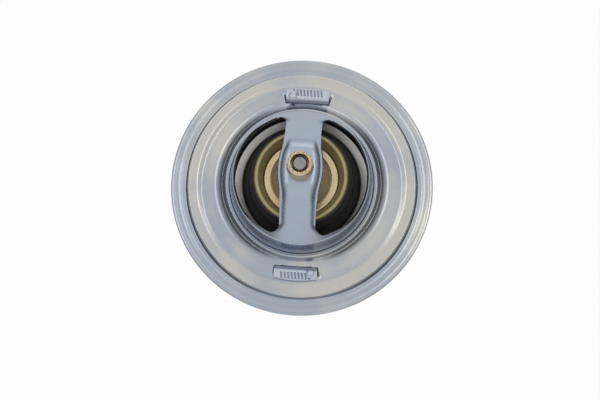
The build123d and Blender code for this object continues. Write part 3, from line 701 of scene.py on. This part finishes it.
def strap_rows(shape, acrosses):
    """Rows of points across the strap, from the ring's lip on one side to the lip on the other."""
    foot_steps = 40
    leg_steps = 60
    first_rise = 0.12
    rises = [0.0, *(first_rise + (1 - first_rise) * step / foot_steps for step in range(foot_steps))]
    rows = [[shape.foot_point(across, rise) for across in acrosses] for rise in rises]
    for step in range(leg_steps + 1):
        y = shape.flare_y * (1 - step / leg_steps)
        rows.append([shape.strap_point(across, y) for across in acrosses])
    back = [[Vector((-point.x, -point.y, point.z)) for point in reversed(row)] for row in rows[:-1]]
    return rows + back[::-1]


def ring_rows(shape, acrosses):
    """Rows of points round the ring, from its foot up the wall and along its lip to the windows' edges."""
    sizes = shape.sizes
    window_steps = 72
    lip_steps = 5
    turns = [acos(across * shape.tip_x / shape.foot_radius) for across in reversed(acrosses)]
    window = pi + turns[0] - turns[-1]
    turns += [turns[-1] + window * step / window_steps for step in range(1, window_steps)]
    turns += [swing + pi for swing in turns]
    foot = (sizes.foot_radius, sizes.foot_top)
    corner = (shape.wall_radius(sizes.foot_top), sizes.foot_top)
    sill = (shape.sill_radius, shape.sill)
    bend = corner_arc(foot, corner, sill, sizes.foot_bend)
    section = [foot, *bend, *(between(bend[-1], sill, share) for share in (0.2, 0.45, 0.7, 0.9))]
    rows = [[(radius * cos(swing), radius * sin(swing), height) for swing in turns] for radius, height in section]
    for step in range(lip_steps + 1):
        row = []
        for swing in turns:
            radius = shape.lip_radius(swing, step / lip_steps)
            x, y = radius * cos(swing), radius * sin(swing)
            row.append((x, y, shape.height(x, y)))
        rows.append(row)
    return rows


def add_skin(made, rows, closed):
    """Adds the faces between rows of points, whose ends meet where the rows are closed."""
    grid = [[made.verts.new(point) for point in row] for row in rows]
    count = len(grid[0])
    for lower, upper in zip(grid, grid[1:]):
        for index in range(count if closed else count - 1):
            other = (index + 1) % count
            made.faces.new((lower[index], lower[other], upper[other], upper[index]))


def sheet_shares(made, sizes):
    """Share of the full sheet at each point, falling towards the windows' edges."""
    above = sizes.foot_top + sizes.sheet
    rim = [vertex.co.copy() for vertex in made.verts if vertex.is_boundary and vertex.co.z > above]
    near = KDTree(len(rim))
    for index, place in enumerate(rim):
        near.insert(place, index)
    near.balance()
    return [min(near.find(vertex.co)[2] / sizes.taper, 1.0) for vertex in made.verts]


def build_bridge(sizes):
    """Piece with the bridge's skin, given its sheet, which thins towards the windows' cut edges."""
    shape = BridgeShape(sizes)
    columns = 56
    acrosses = [2 * index / columns - 1 for index in range(columns + 1)]
    made = bmesh.new()
    add_skin(made, strap_rows(shape, acrosses), closed=False)
    add_skin(made, ring_rows(shape, acrosses), closed=True)
    bmesh.ops.remove_doubles(made, verts=made.verts, dist=0.01 * MM)
    bmesh.ops.recalc_face_normals(made, faces=made.faces)
    shares = sheet_shares(made, sizes)
    piece = new_piece("bridge", made)
    full_sheet = piece.vertex_groups.new(name="full sheet")
    for index, share in enumerate(shares):
        full_sheet.add([index], share, "REPLACE")
    thick = piece.modifiers.new("sheet", "SOLIDIFY")
    thick.thickness = sizes.sheet
    thick.offset = -1.0
    thick.vertex_group = "full sheet"
    thick.thickness_vertex_group = sizes.cut_edge
    return settled(piece)


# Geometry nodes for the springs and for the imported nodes' edges.


def spring_tree():
    """Geometry nodes that wind round wire between two heights, with closed ends."""
    tree = bpy.data.node_groups.new("Wound spring", "GeometryNodeTree")
    tree.interface.new_socket(name="Geometry", in_out="OUTPUT", socket_type="NodeSocketGeometry")
    for name in ("Mean radius", "Wire", "Turns", "Closed turns", "Bottom", "Top"):
        tree.interface.new_socket(name=name, in_out="INPUT", socket_type="NodeSocketFloat")
    tree.interface.new_socket(name="Material", in_out="INPUT", socket_type="NodeSocketMaterial")
    given = tree.nodes.new("NodeGroupInput").outputs
    result = tree.nodes.new("NodeGroupOutput")

    def maths(operation, first, second):
        """Socket with two values or sockets combined."""
        node = add_node(tree, "ShaderNodeMath", {"operation": operation})
        for index, value in enumerate((first, second)):
            if isinstance(value, (int, float)):
                node.inputs[index].default_value = value
            else:
                tree.links.new(value, node.inputs[index])
        return node.outputs["Value"]

    def ramp(value, start, end, rise):
        """Socket that climbs from nothing to a rise while a value goes from start to end."""
        node = add_node(tree, "ShaderNodeMapRange", {"clamp": True})
        for name, source in (("Value", value), ("From Min", start), ("From Max", end), ("To Max", rise)):
            if isinstance(source, (int, float)):
                node.inputs[name].default_value = source
            else:
                tree.links.new(source, node.inputs[name])
        node.inputs["To Min"].default_value = 0.0
        return node.outputs["Result"]

    spiral = add_node(tree, "GeometryNodeCurveSpiral", Resolution=96, Height=0.0)
    tree.links.new(given["Turns"], spiral.inputs["Rotations"])
    tree.links.new(given["Mean radius"], spiral.inputs["Start Radius"])
    tree.links.new(given["Mean radius"], spiral.inputs["End Radius"])
    along = add_node(tree, "GeometryNodeSplineParameter").outputs["Factor"]
    closed_share = maths("DIVIDE", given["Closed turns"], given["Turns"])
    open_share = maths("SUBTRACT", 1.0, closed_share)
    closed_rise = maths("MULTIPLY", given["Closed turns"], given["Wire"])
    span = maths("SUBTRACT", maths("SUBTRACT", given["Top"], given["Bottom"]), given["Wire"])
    open_rise = maths("SUBTRACT", span, maths("MULTIPLY", closed_rise, 2.0))
    first_rise = ramp(along, 0.0, closed_share, closed_rise)
    middle_rise = ramp(along, closed_share, open_share, open_rise)
    last_rise = ramp(along, open_share, 1.0, closed_rise)
    climb = maths("ADD", maths("ADD", first_rise, middle_rise), last_rise)
    start = maths("ADD", given["Bottom"], maths("MULTIPLY", given["Wire"], 0.5))
    height = maths("ADD", start, climb)
    lift = add_node(tree, "ShaderNodeCombineXYZ")
    tree.links.new(height, lift.inputs["Z"])
    move = add_node(tree, "GeometryNodeSetPosition")
    tree.links.new(spiral.outputs["Curve"], move.inputs["Geometry"])
    tree.links.new(lift.outputs["Vector"], move.inputs["Offset"])
    section = add_node(tree, "GeometryNodeCurvePrimitiveCircle", Resolution=24)
    tree.links.new(maths("MULTIPLY", given["Wire"], 0.5), section.inputs["Radius"])
    body = add_node(tree, "GeometryNodeCurveToMesh")
    body.inputs["Fill Caps"].default_value = True
    tree.links.new(move.outputs["Geometry"], body.inputs["Curve"])
    tree.links.new(section.outputs["Curve"], body.inputs["Profile Curve"])
    whole = add_node(tree, "GeometryNodeRealizeInstances")
    tree.links.new(body.outputs["Mesh"], whole.inputs["Geometry"])
    painted = add_node(tree, "GeometryNodeSetMaterial")
    tree.links.new(whole.outputs["Geometry"], painted.inputs["Geometry"])
    tree.links.new(given["Material"], painted.inputs["Material"])
    tree.links.new(painted.outputs["Geometry"], result.inputs["Geometry"])
    return tree


def grown(name, tree, values):
    """Plain mesh piece that a geometry nodes tree makes from its named inputs."""
    piece = bpy.data.objects.new(name, bpy.data.meshes.new(name))
    bpy.context.scene.collection.objects.link(piece)
    modifier = piece.modifiers.new(name, "NODES")
    modifier.node_group = tree
    for item in tree.interface.items_tree:
        if item.in_out == "INPUT" and item.name in values:
            modifier[item.identifier] = values[item.name]
    settled(piece)
    made = bmesh.new()
    made.from_mesh(piece.data)
    bmesh.ops.recalc_face_normals(made, faces=made.faces)
    for edge in made.edges:
        edge.smooth = edge.calc_face_angle(0.0) < SHARP_ANGLE
    for face in made.faces:
        face.smooth = True
    made.to_mesh(piece.data)
    made.free()
    return piece


def edge_tree():
    """Geometry nodes that join a node's loose facets and keep only its true edges sharp."""
    tree = bpy.data.node_groups.new("True edges", "GeometryNodeTree")
    tree.interface.new_socket(name="Geometry", in_out="OUTPUT", socket_type="NodeSocketGeometry")
    tree.interface.new_socket(name="Geometry", in_out="INPUT", socket_type="NodeSocketGeometry")
    given = tree.nodes.new("NodeGroupInput").outputs
    result = tree.nodes.new("NodeGroupOutput")
    joined = add_node(tree, "GeometryNodeMergeByDistance", Distance=0.002 * MM)
    tree.links.new(given["Geometry"], joined.inputs["Geometry"])
    faces = add_node(tree, "GeometryNodeSetShadeSmooth", {"domain": "FACE"})
    tree.links.new(joined.outputs["Geometry"], faces.inputs["Geometry"])
    fold = add_node(tree, "GeometryNodeInputMeshEdgeAngle")
    soft = add_node(tree, "FunctionNodeCompare", {"data_type": "FLOAT", "operation": "LESS_THAN"})
    soft.inputs["B"].default_value = SHARP_ANGLE
    tree.links.new(fold.outputs["Unsigned Angle"], soft.inputs["A"])
    edges = add_node(tree, "GeometryNodeSetShadeSmooth", {"domain": "EDGE"})
    tree.links.new(faces.outputs["Geometry"], edges.inputs["Geometry"])
    tree.links.new(soft.outputs["Result"], edges.inputs["Shade Smooth"])
    tree.links.new(edges.outputs["Geometry"], result.inputs["Geometry"])
    return tree


# Operators, one for each piece or group of like pieces.


class INSERT_OT_flange(Operator):
    """Turn the flange plate, with its rim, step, plateaus and collar"""

    bl_idname = "insert.flange"
    bl_label = "Flange plate"

    def execute(self, context):
        sizes = context.scene.insert_flange
        top = sizes.sheet
        face = [
            (sizes.radius, top),
            (sizes.step_foot, top),
            (sizes.step_head, sizes.plateau),
            (sizes.rise_outer, sizes.plateau),
            (sizes.rise_inner, sizes.inner_plateau),
            (sizes.collar_foot, sizes.inner_plateau),
            (sizes.collar_lip, sizes.collar_top),
        ]
        # The collar's cut lip stands upright, just clear of the bridge's wall.
        clearance, lip_round = 0.05 * MM, 0.1 * MM
        lip = BridgeShape(context.scene.insert_bridge).wall_radius(sizes.collar_top) + clearance
        back = [
            (lip, sizes.collar_top - lip_round),
            (lip + lip_round, sizes.collar_top - sizes.sheet),
            *offset_points(face, sizes.sheet)[-2::-1],
        ]
        half = sizes.bead_width / 2
        edge, dip = top - sizes.edge_drop, top - sizes.bead_height
        rim = [
            (sizes.radius, edge),
            (sizes.radius - sizes.edge_roll, top),
            (sizes.bead_radius + 2 * half, dip),
            (sizes.bead_radius + half, dip),
            (sizes.bead_radius, top),
            (sizes.bead_radius - half, dip),
            (sizes.step_foot, dip),
        ]
        # Rounds of each part's corners, in millimetres.
        rim_rounds = [0.35, 0.8, 0.8, 0.8, 0.8, 0.8, 0.5]
        face_rounds = [0.5, 2.0, 2.0, 3.4, 0.4]
        back_rounds = [0.2, 0.2, 4.0, 2.0, 2.0, 0.0, 2.0, 0.05]
        rounds = [value * MM for value in rim_rounds + face_rounds + back_rounds]
        piece = turned("flange", rounded([*rim, *face[2:], *back], rounds))
        cut_slots(piece, sizes, low=0.8 * MM, high=5.75 * MM)
        fit(piece, "frame", "flange_steel", finishes()["Satin flange steel"], "flange_plate")
        return {"FINISHED"}


class INSERT_OT_seat(Operator):
    """Turn the seat ring with its rolled lip"""

    bl_idname = "insert.seat"
    bl_label = "Valve seat"

    def execute(self, context):
        sizes = context.scene.insert_seat
        face = [
            (sizes.outer, sizes.top),
            (sizes.neck_foot, sizes.top),
            (sizes.neck_head, sizes.crest),
            (sizes.bore, sizes.lip),
        ]
        bends = [1.0 * MM, 0.5 * MM]
        piece = turned("seat", sheet_section(face, bends, sizes.sheet, end_round=0.25 * MM))
        cut_slots(piece, sizes, low=0.5 * MM, high=3.0 * MM)
        fit(piece, "frame", "seat_steel", finishes()["Seat steel"], "seat_ring")
        return {"FINISHED"}


class INSERT_OT_bridge(Operator):
    """Press the bridge: ring wall, windows and strap from one sheet"""

    bl_idname = "insert.bridge"
    bl_label = "Bridge"

    def execute(self, context):
        piece = build_bridge(context.scene.insert_bridge)
        fit(piece, "frame", "bridge_steel", finishes()["Satin bridge steel"], "bridge_frame")
        return {"FINISHED"}


class INSERT_OT_bush(Operator):
    """Turn and stake the bush, and turn the pin that it holds"""

    bl_idname = "insert.bush"
    bl_label = "Bush and pin"

    def execute(self, context):
        sizes = context.scene.insert_bush
        strap = context.scene.insert_bridge.platform
        under = strap - context.scene.insert_bridge.sheet
        bore_floor = sizes.top - sizes.bore_depth
        corners = [
            (sizes.bore, under - sizes.skirt_depth, 0.0),
            (sizes.skirt, under - sizes.skirt_depth, 0.3),
            (sizes.skirt, under - FIT_GAP, 0.0),
            (sizes.neck, under - FIT_GAP, 0.0),
            (sizes.neck, strap + FIT_GAP, 0.0),
            (sizes.foot, strap + FIT_GAP, 0.15),
            (sizes.foot, strap + sizes.cone_foot, 0.3),
            (sizes.tip, sizes.top - sizes.cone_head, 0.3),
            (sizes.tip - sizes.chamfer, sizes.top, 0.15),
            (sizes.open_bore, sizes.top, 0.1),
            (sizes.open_bore, bore_floor, 0.0),
            (sizes.bore, bore_floor, 0.0),
        ]
        band = sizes.top - sizes.stake_height
        bore_wall = sizes.open_bore + 0.05 * MM

        def staked(swing, radius, height):
            """The outline's point, moved where a staking mark dents the tip."""
            if height <= band or radius < bore_wall:
                return radius, height
            dent = (0.5 + 0.5 * cos(swing * sizes.stakes)) ** 2 * (height - band) / sizes.stake_height
            return radius - sizes.stake_depth * dent, height - sizes.stake_drop * dent

        bush = turned("bush", profile(corners), sizes.stakes * 16, staked)
        fit(bush, "frame", "bush_brass", finishes()["Bush brass"], "adjusting_bush")
        corners = [
            (0.0, sizes.pin_tip, 0.0),
            (sizes.pin_point, sizes.pin_tip, 0.2),
            (sizes.pin, sizes.pin_tip + sizes.pin_taper, 0.4),
            (sizes.pin, sizes.pin_top - sizes.pin_chamfer, 0.15),
            (sizes.pin - sizes.pin_chamfer, sizes.pin_top, 0.15),
            (0.0, sizes.pin_top, 0.0),
        ]
        pin = turned("pin", profile(corners), SMALL_SEGMENTS)
        fit(pin, "frame", "pin_steel", finishes()["Ground steel"], "piston")
        return {"FINISHED"}


class INSERT_OT_valve(Operator):
    """Press the valve plate and mould its rubber cone"""

    bl_idname = "insert.valve"
    bl_label = "Valve"

    def execute(self, context):
        sizes = context.scene.insert_valve
        element = context.scene.insert_element
        low = sizes.crest - sizes.dish
        face = [
            (sizes.flange, sizes.flange_height),
            (sizes.wall, sizes.flange_height),
            (sizes.wall, sizes.crest),
            (sizes.wall - 2 * sizes.crest_roll, sizes.crest),
            (element.crimp, low),
            (element.crimp, low - sizes.collar),
        ]
        bends = [0.8 * MM, sizes.crest_roll, 0.45 * MM, 0.3 * MM]
        plate = turned("valve_plate_steel", sheet_section(face, bends, sizes.sheet, end_round=0.1 * MM))
        fit(plate, "element", "passivated_steel", finishes()["Passivated steel"], "valve_plate")
        top = sizes.crest - sizes.rubber_top
        lip = sizes.spring_seat - sizes.spring_lip
        lip_inside = sizes.flange - sizes.lip_inside
        corners = [
            (sizes.wall, sizes.flange_height + sizes.rubber, 0.0),
            (sizes.wall + sizes.rubber, sizes.flange_height, 0.0),
            (sizes.flange, sizes.flange_height, 0.0),
            (sizes.flange, sizes.spring_seat, 0.0),
            (lip_inside, sizes.spring_seat, 0.0),
            (lip_inside, lip, 0.15),
            (sizes.flange + sizes.rubber, lip, 0.4),
            (sizes.flange + sizes.rubber, sizes.flange_height, 0.2),
            (sizes.cone_foot_radius, sizes.cone_foot, 0.3),
            (sizes.cone_knee_radius, sizes.cone_knee, 0.3),
            (sizes.bead_radius, sizes.bead_height - sizes.bead_size, 0.1),
            (sizes.bead_radius + sizes.bead_size, sizes.bead_height, 0.2),
            (sizes.bead_radius - 0.05 * MM, sizes.bead_height + sizes.bead_size, 0.1),
            (sizes.wall + sizes.rubber_edge, top, 0.2),
            (sizes.wall, top, 0.0),
        ]
        seal = turned("valve_cone", profile(corners))
        fit(seal, "element", "seal_rubber", finishes()["Black rubber"], "valve_seal")
        return {"FINISHED"}


class INSERT_OT_element(Operator):
    """Draw the element's cup and turn its guide"""

    bl_idname = "insert.element"
    bl_label = "Wax element"

    def execute(self, context):
        sizes = context.scene.insert_element
        bore = sizes.cup - sizes.wall
        crimp_bore = sizes.crimp - sizes.wall
        under = sizes.crimp_top - sizes.wall
        seat = sizes.crimp_shoulder + sizes.wall
        cup_floor = sizes.cup_bottom + sizes.wall
        corners = [
            (0.0, sizes.cup_bottom, 0.0),
            (sizes.cup, sizes.cup_bottom, 1.4),
            (sizes.cup, sizes.crimp_shoulder, 0.3),
            (sizes.crimp, sizes.crimp_shoulder, 0.6),
            (sizes.crimp, sizes.crimp_top, 0.7),
            (sizes.eye, sizes.crimp_top, 0.3),
            (sizes.eye, under, 0.0),
            (crimp_bore, under, 0.0),
            (crimp_bore, seat, 0.0),
            (bore, seat, 0.0),
            (bore, cup_floor, 0.6),
            (0.0, cup_floor, 0.0),
        ]
        cup = turned("cup", profile(corners))
        fit(cup, "element", "cup_brass", finishes()["Drawn brass"], "element_cup")
        pin_bore = context.scene.insert_bush.bore
        rim = crimp_bore - 0.05 * MM
        shoulder = sizes.eye - 0.2 * MM
        wiper_seat = sizes.guide_top - sizes.wiper_depth
        washer_seat = sizes.guide_foot + sizes.washer_depth
        corners = [
            (sizes.washer_recess, sizes.guide_foot, 0.0),
            (rim, sizes.guide_foot, 0.0),
            (rim, under, 0.0),
            (shoulder, under, 0.0),
            (shoulder - sizes.guide_chamfer, under + sizes.guide_chamfer, 0.3),
            (sizes.guide_neck, under + sizes.guide_cone, 1.6),
            (sizes.guide_neck, sizes.guide_top, 0.5),
            (sizes.wiper_recess, sizes.guide_top, 0.0),
            (sizes.wiper_recess, wiper_seat, 0.0),
            (pin_bore, wiper_seat, 0.0),
            (pin_bore, washer_seat, 0.0),
            (sizes.washer_recess, washer_seat, 0.0),
        ]
        guide = turned("guide", profile(corners), SMALL_SEGMENTS)
        fit(guide, "element", "guide_brass", finishes()["Darkened brass"], "element_guide")
        return {"FINISHED"}


class INSERT_OT_springs(Operator):
    """Wind the main spring and the bypass spring"""

    bl_idname = "insert.springs"
    bl_label = "Springs"

    def execute(self, context):
        sizes = context.scene.insert_springs
        tree = spring_tree()
        steel = finishes()["Spring wire"]
        springs = (
            ("spring_main", "main_spring", "frame", "element_slide", sizes.radius, sizes.wire, sizes.turns),
            ("spring_bypass", "bypass_spring", "element", "bypass_slide", sizes.bypass_radius, sizes.bypass_wire,
             sizes.bypass_turns),
        )
        for name, node, body, joint_name, radius, wire, turns in springs:
            low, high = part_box(node)
            piece = grown(name, tree, {
                "Mean radius": radius, "Wire": wire, "Turns": turns, "Closed turns": sizes.closed,
                "Bottom": low.z, "Top": high.z, "Material": steel,
            })
            fit(piece, body, "spring_steel", steel, node)
            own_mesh(piece)
        return {"FINISHED"}


class INSERT_OT_bypass(Operator):
    """Turn the bypass stem, disc and spring cup"""

    bl_idname = "insert.bypass"
    bl_label = "Bypass valve"

    def execute(self, context):
        sizes = context.scene.insert_bypass
        bottom = context.scene.insert_element.cup_bottom
        shoulder = bottom - sizes.head_depth
        clip = sizes.hub_top - sizes.clip_drop
        clip_low = clip - sizes.clip_width
        groove = sizes.stem - sizes.clip_depth
        end = clip - sizes.end_drop
        corners = [
            (0.0, bottom, 0.0),
            (sizes.head, bottom, 0.0),
            (sizes.head, shoulder, 0.2),
            (sizes.stem, shoulder, 0.0),
            (sizes.stem, clip, 0.0),
            (groove, clip, 0.0),
            (groove, clip_low, 0.0),
            (sizes.stem, clip_low, 0.0),
            (sizes.stem, end + sizes.end_chamfer, 0.15),
            (sizes.stem - sizes.end_chamfer, end, 0.15),
            (0.0, end, 0.0),
        ]
        stem = turned("stem", profile(corners), SMALL_SEGMENTS)
        fit(stem, "element", "stem_brass", finishes()["Drawn brass"], "bypass_stem")
        bore = sizes.stem + sizes.play
        collar = bore + sizes.sheet
        low = sizes.hub_top - sizes.dish
        face = [
            (sizes.disc, low),
            (sizes.disc - sizes.rim, low),
            (sizes.hub, sizes.hub_top),
            (collar, sizes.hub_top),
            (collar, sizes.hub_top + sizes.collar),
        ]
        bends = [1.0 * MM, 1.2 * MM, 0.4 * MM]
        disc = turned("disc", sheet_section(face, bends, sizes.sheet, end_round=0.15 * MM))
        fit(disc, "bypass", "passivated_steel", finishes()["Passivated steel"], "bypass_disc")
        inside = shoulder - sizes.cup_sheet
        face = [(bore, inside), (sizes.cup, inside), (sizes.cup, inside - sizes.cup_depth)]
        outline = sheet_section(face, [0.2 * MM], sizes.cup_sheet, end_round=0.05 * MM)
        cup = turned("spring_seat", outline, SMALL_SEGMENTS)
        fit(cup, "element", "frame_steel", finishes()["Frame steel"], "spring_cup")
        return {"FINISHED"}


class INSERT_OT_nodes(Operator):
    """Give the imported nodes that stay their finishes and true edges"""

    bl_idname = "insert.nodes"
    bl_label = "Kept nodes"

    def execute(self, context):
        found = finishes()
        tree = edge_tree()
        kept = {
            "lower_frame": "Frame steel",
            "rubber_sleeve": "Black rubber",
            "wax_charge": "Bush brass",
            "backup_washer": "Frame steel",
            "piston_wiper": "Black rubber",
            "stop_washer": "Frame steel",
            "retaining_clip": "Spring wire",
        }
        for name, finish in kept.items():
            node = nodes[name]
            node.data.materials.clear()
            node.data.materials.append(found[finish])
            modifier = node.modifiers.new("true edges", "NODES")
            modifier.node_group = tree
        return {"FINISHED"}


class INSERT_OT_stage(Operator):
    """Set the floor, the soft lights, the world and the camera"""

    bl_idname = "insert.stage"
    bl_label = "Stage"

    def execute(self, context):
        self.floor()
        self.world(context.scene)
        self.lights()
        self.camera(context.scene)
        context.scene.view_settings.view_transform = "Standard"
        return {"FINISHED"}

    def floor(self):
        """Pale floor that keeps the insert's shadow and shows white to the camera and in the metal."""
        made = bmesh.new()
        bmesh.ops.create_circle(made, cap_ends=True, radius=3.0, segments=64)
        for vertex in made.verts:
            vertex.co.z = cad_low.z - bpy.context.scene.insert_stage.floor_drop
        floor = new_piece("floor", made)
        material, tree, shader = new_finish("White floor")
        shader.inputs["Base Color"].default_value = (0.86, 0.86, 0.86, 1.0)
        shader.inputs["Roughness"].default_value = 0.9
        shader.inputs["Specular IOR Level"].default_value = 0.0
        ray = add_node(tree, "ShaderNodeLightPath")
        shown = ray.outputs["Is Camera Ray"]
        for kind in ("Is Glossy Ray", "Is Transmission Ray"):
            either = add_node(tree, "ShaderNodeMath", {"operation": "MAXIMUM"})
            tree.links.new(shown, either.inputs[0])
            tree.links.new(ray.outputs[kind], either.inputs[1])
            shown = either.outputs["Value"]
        # A little of the shaded floor stays in the picture, with the insert's soft shadow.
        glow_share = 0.95
        share = add_node(tree, "ShaderNodeMath", {"operation": "MULTIPLY"})
        share.inputs[1].default_value = glow_share
        tree.links.new(shown, share.inputs[0])
        glow = add_node(tree, "ShaderNodeEmission", Strength=1.0)
        mix = add_node(tree, "ShaderNodeMixShader")
        tree.links.new(share.outputs["Value"], mix.inputs["Fac"])
        tree.links.new(shader.outputs["BSDF"], mix.inputs[1])
        tree.links.new(glow.outputs["Emission"], mix.inputs[2])
        tree.links.new(mix.outputs["Shader"], tree.nodes["Material Output"].inputs["Surface"])
        floor.data.materials.append(material)

    def world(self, scene):
        """Soft grey surroundings, darker to the sides, that the metal mirrors."""
        world = bpy.data.worlds.new("Studio")
        scene.world = world
        world.use_nodes = True
        tree = world.node_tree
        soft = tree.nodes["Background"]
        place = add_node(tree, "ShaderNodeTexCoord")
        split = add_node(tree, "ShaderNodeSeparateXYZ")
        tree.links.new(place.outputs["Generated"], split.inputs["Vector"])
        # Each stop is a height, from straight down at 0 to straight up at 1, and its grey level.
        stops = ((0.0, 0.60), (0.47, 0.45), (0.52, 0.75), (0.60, 1.0), (0.90, 1.0), (1.0, 0.95))
        side_stops = ((0.0, 0.60), (0.5, 0.08), (0.64, 0.16), (0.74, 0.42), (0.88, 0.72), (1.0, 0.95))
        height = carried(tree, split.outputs["Z"], From_Min=-1.0)
        ramps = []
        for levels in (stops, side_stops):
            ramp = add_node(tree, "ShaderNodeValToRGB")
            set_stops(ramp, levels)
            tree.links.new(height, ramp.inputs["Fac"])
            ramps.append(ramp)
        sideways = add_node(tree, "ShaderNodeMath", {"operation": "ABSOLUTE"})
        tree.links.new(split.outputs["X"], sideways.inputs[0])
        smooth = {"interpolation_type": "SMOOTHSTEP"}
        side_share = carried(tree, sideways.outputs["Value"], smooth, From_Min=0.2, From_Max=0.65)
        blend = add_node(tree, "ShaderNodeMix", {"data_type": "RGBA"})
        tree.links.new(side_share, blend.inputs["Factor"])
        tree.links.new(ramps[0].outputs["Color"], blend.inputs[6])
        tree.links.new(ramps[1].outputs["Color"], blend.inputs[7])
        tree.links.new(blend.outputs[2], soft.inputs["Color"])

    def lights(self):
        """Soft lamps, each with its name, place, two sides and power, that face the insert."""
        lamps = (
            ("Back", (0.1, 1.2, 0.75), 0.9, 0.4, 0.5),
            ("Right", (0.36, 0.24, 1.0), 0.60, 0.15, 0.34),
            ("Left", (-0.38, 0.22, 1.0), 0.60, 0.15, 0.34),
        )
        for name, place, width, depth, power in lamps:
            data = bpy.data.lights.new(name, "AREA")
            data.shape = "RECTANGLE"
            data.size = width
            data.size_y = depth
            data.energy = power
            lamp = bpy.data.objects.new(name, data)
            lamp.location = place
            lamp.rotation_euler = (-Vector(place)).to_track_quat("-Z", "Y").to_euler()
            bpy.context.scene.collection.objects.link(lamp)

    def camera(self, scene):
        """Camera that looks down on the bridge."""
        settings = scene.insert_stage
        data = bpy.data.cameras.new("Camera")
        data.lens = settings.lens
        camera = bpy.data.objects.new("Camera", data)
        scene.collection.objects.link(camera)
        turn, lean = settings.azimuth, settings.elevation
        back = Vector((sin(turn) * cos(lean), -cos(turn) * cos(lean), sin(lean)))
        facing = (-back).to_track_quat("-Z", "Y").to_matrix().to_4x4()
        facing = facing @ Matrix.Rotation(-settings.roll, 4, "Z")
        centre = Vector((0.0, 0.0, scene.insert_flange.sheet / 2))
        right, up = facing.col[0].xyz, facing.col[1].xyz
        aim = centre - (right * settings.shift_right + up * settings.shift_up) * settings.scale
        camera.matrix_world = Matrix.Translation(aim + back * settings.distance) @ facing
        scene.camera = camera


OPERATORS = (
    INSERT_OT_flange, INSERT_OT_seat, INSERT_OT_bridge, INSERT_OT_bush, INSERT_OT_valve, INSERT_OT_element,
    INSERT_OT_springs, INSERT_OT_bypass, INSERT_OT_nodes, INSERT_OT_stage,
)


class INSERT_PT_panel(Panel):
    """Buttons and sizes of the insert"""

    bl_idname = "INSERT_PT_panel"
    bl_label = "Thermostat insert"
    bl_space_type = "VIEW_3D"
    bl_region_type = "UI"
    bl_category = "Insert"

    def draw(self, context):
        for operator in OPERATORS:
            self.layout.operator(operator.bl_idname)
        for name in GROUPS:
            box = self.layout.box()
            group = getattr(context.scene, name)
            for size in group.__annotations__:
                box.prop(group, size)


GROUPS = {
    "insert_flange": FlangeSizes,
    "insert_seat": SeatSizes,
    "insert_bridge": BridgeSizes,
    "insert_bush": BushSizes,
    "insert_valve": ValveSizes,
    "insert_element": ElementSizes,
    "insert_springs": SpringSizes,
    "insert_bypass": BypassSizes,
    "insert_colours": FinishColours,
    "insert_stage": StageSettings,
}


def register():
    """Adds the sizes, the operators and the panel."""
    for name, group in GROUPS.items():
        bpy.utils.register_class(group)
        setattr(bpy.types.Scene, name, PointerProperty(type=group))
    for operator in OPERATORS:
        bpy.utils.register_class(operator)
    bpy.utils.register_class(INSERT_PT_panel)


def unregister():
    """Takes the panel, the operators and the sizes out again."""
    bpy.utils.unregister_class(INSERT_PT_panel)
    for operator in reversed(OPERATORS):
        bpy.utils.unregister_class(operator)
    for name, group in GROUPS.items():
        delattr(bpy.types.Scene, name)
        bpy.utils.unregister_class(group)


def main():
    """Builds every piece and the stage."""
    register()
    for operator in OPERATORS:
        group, name = operator.bl_idname.split(".")
        getattr(getattr(bpy.ops, group), name)()


if __name__ == "__main__":
    main()
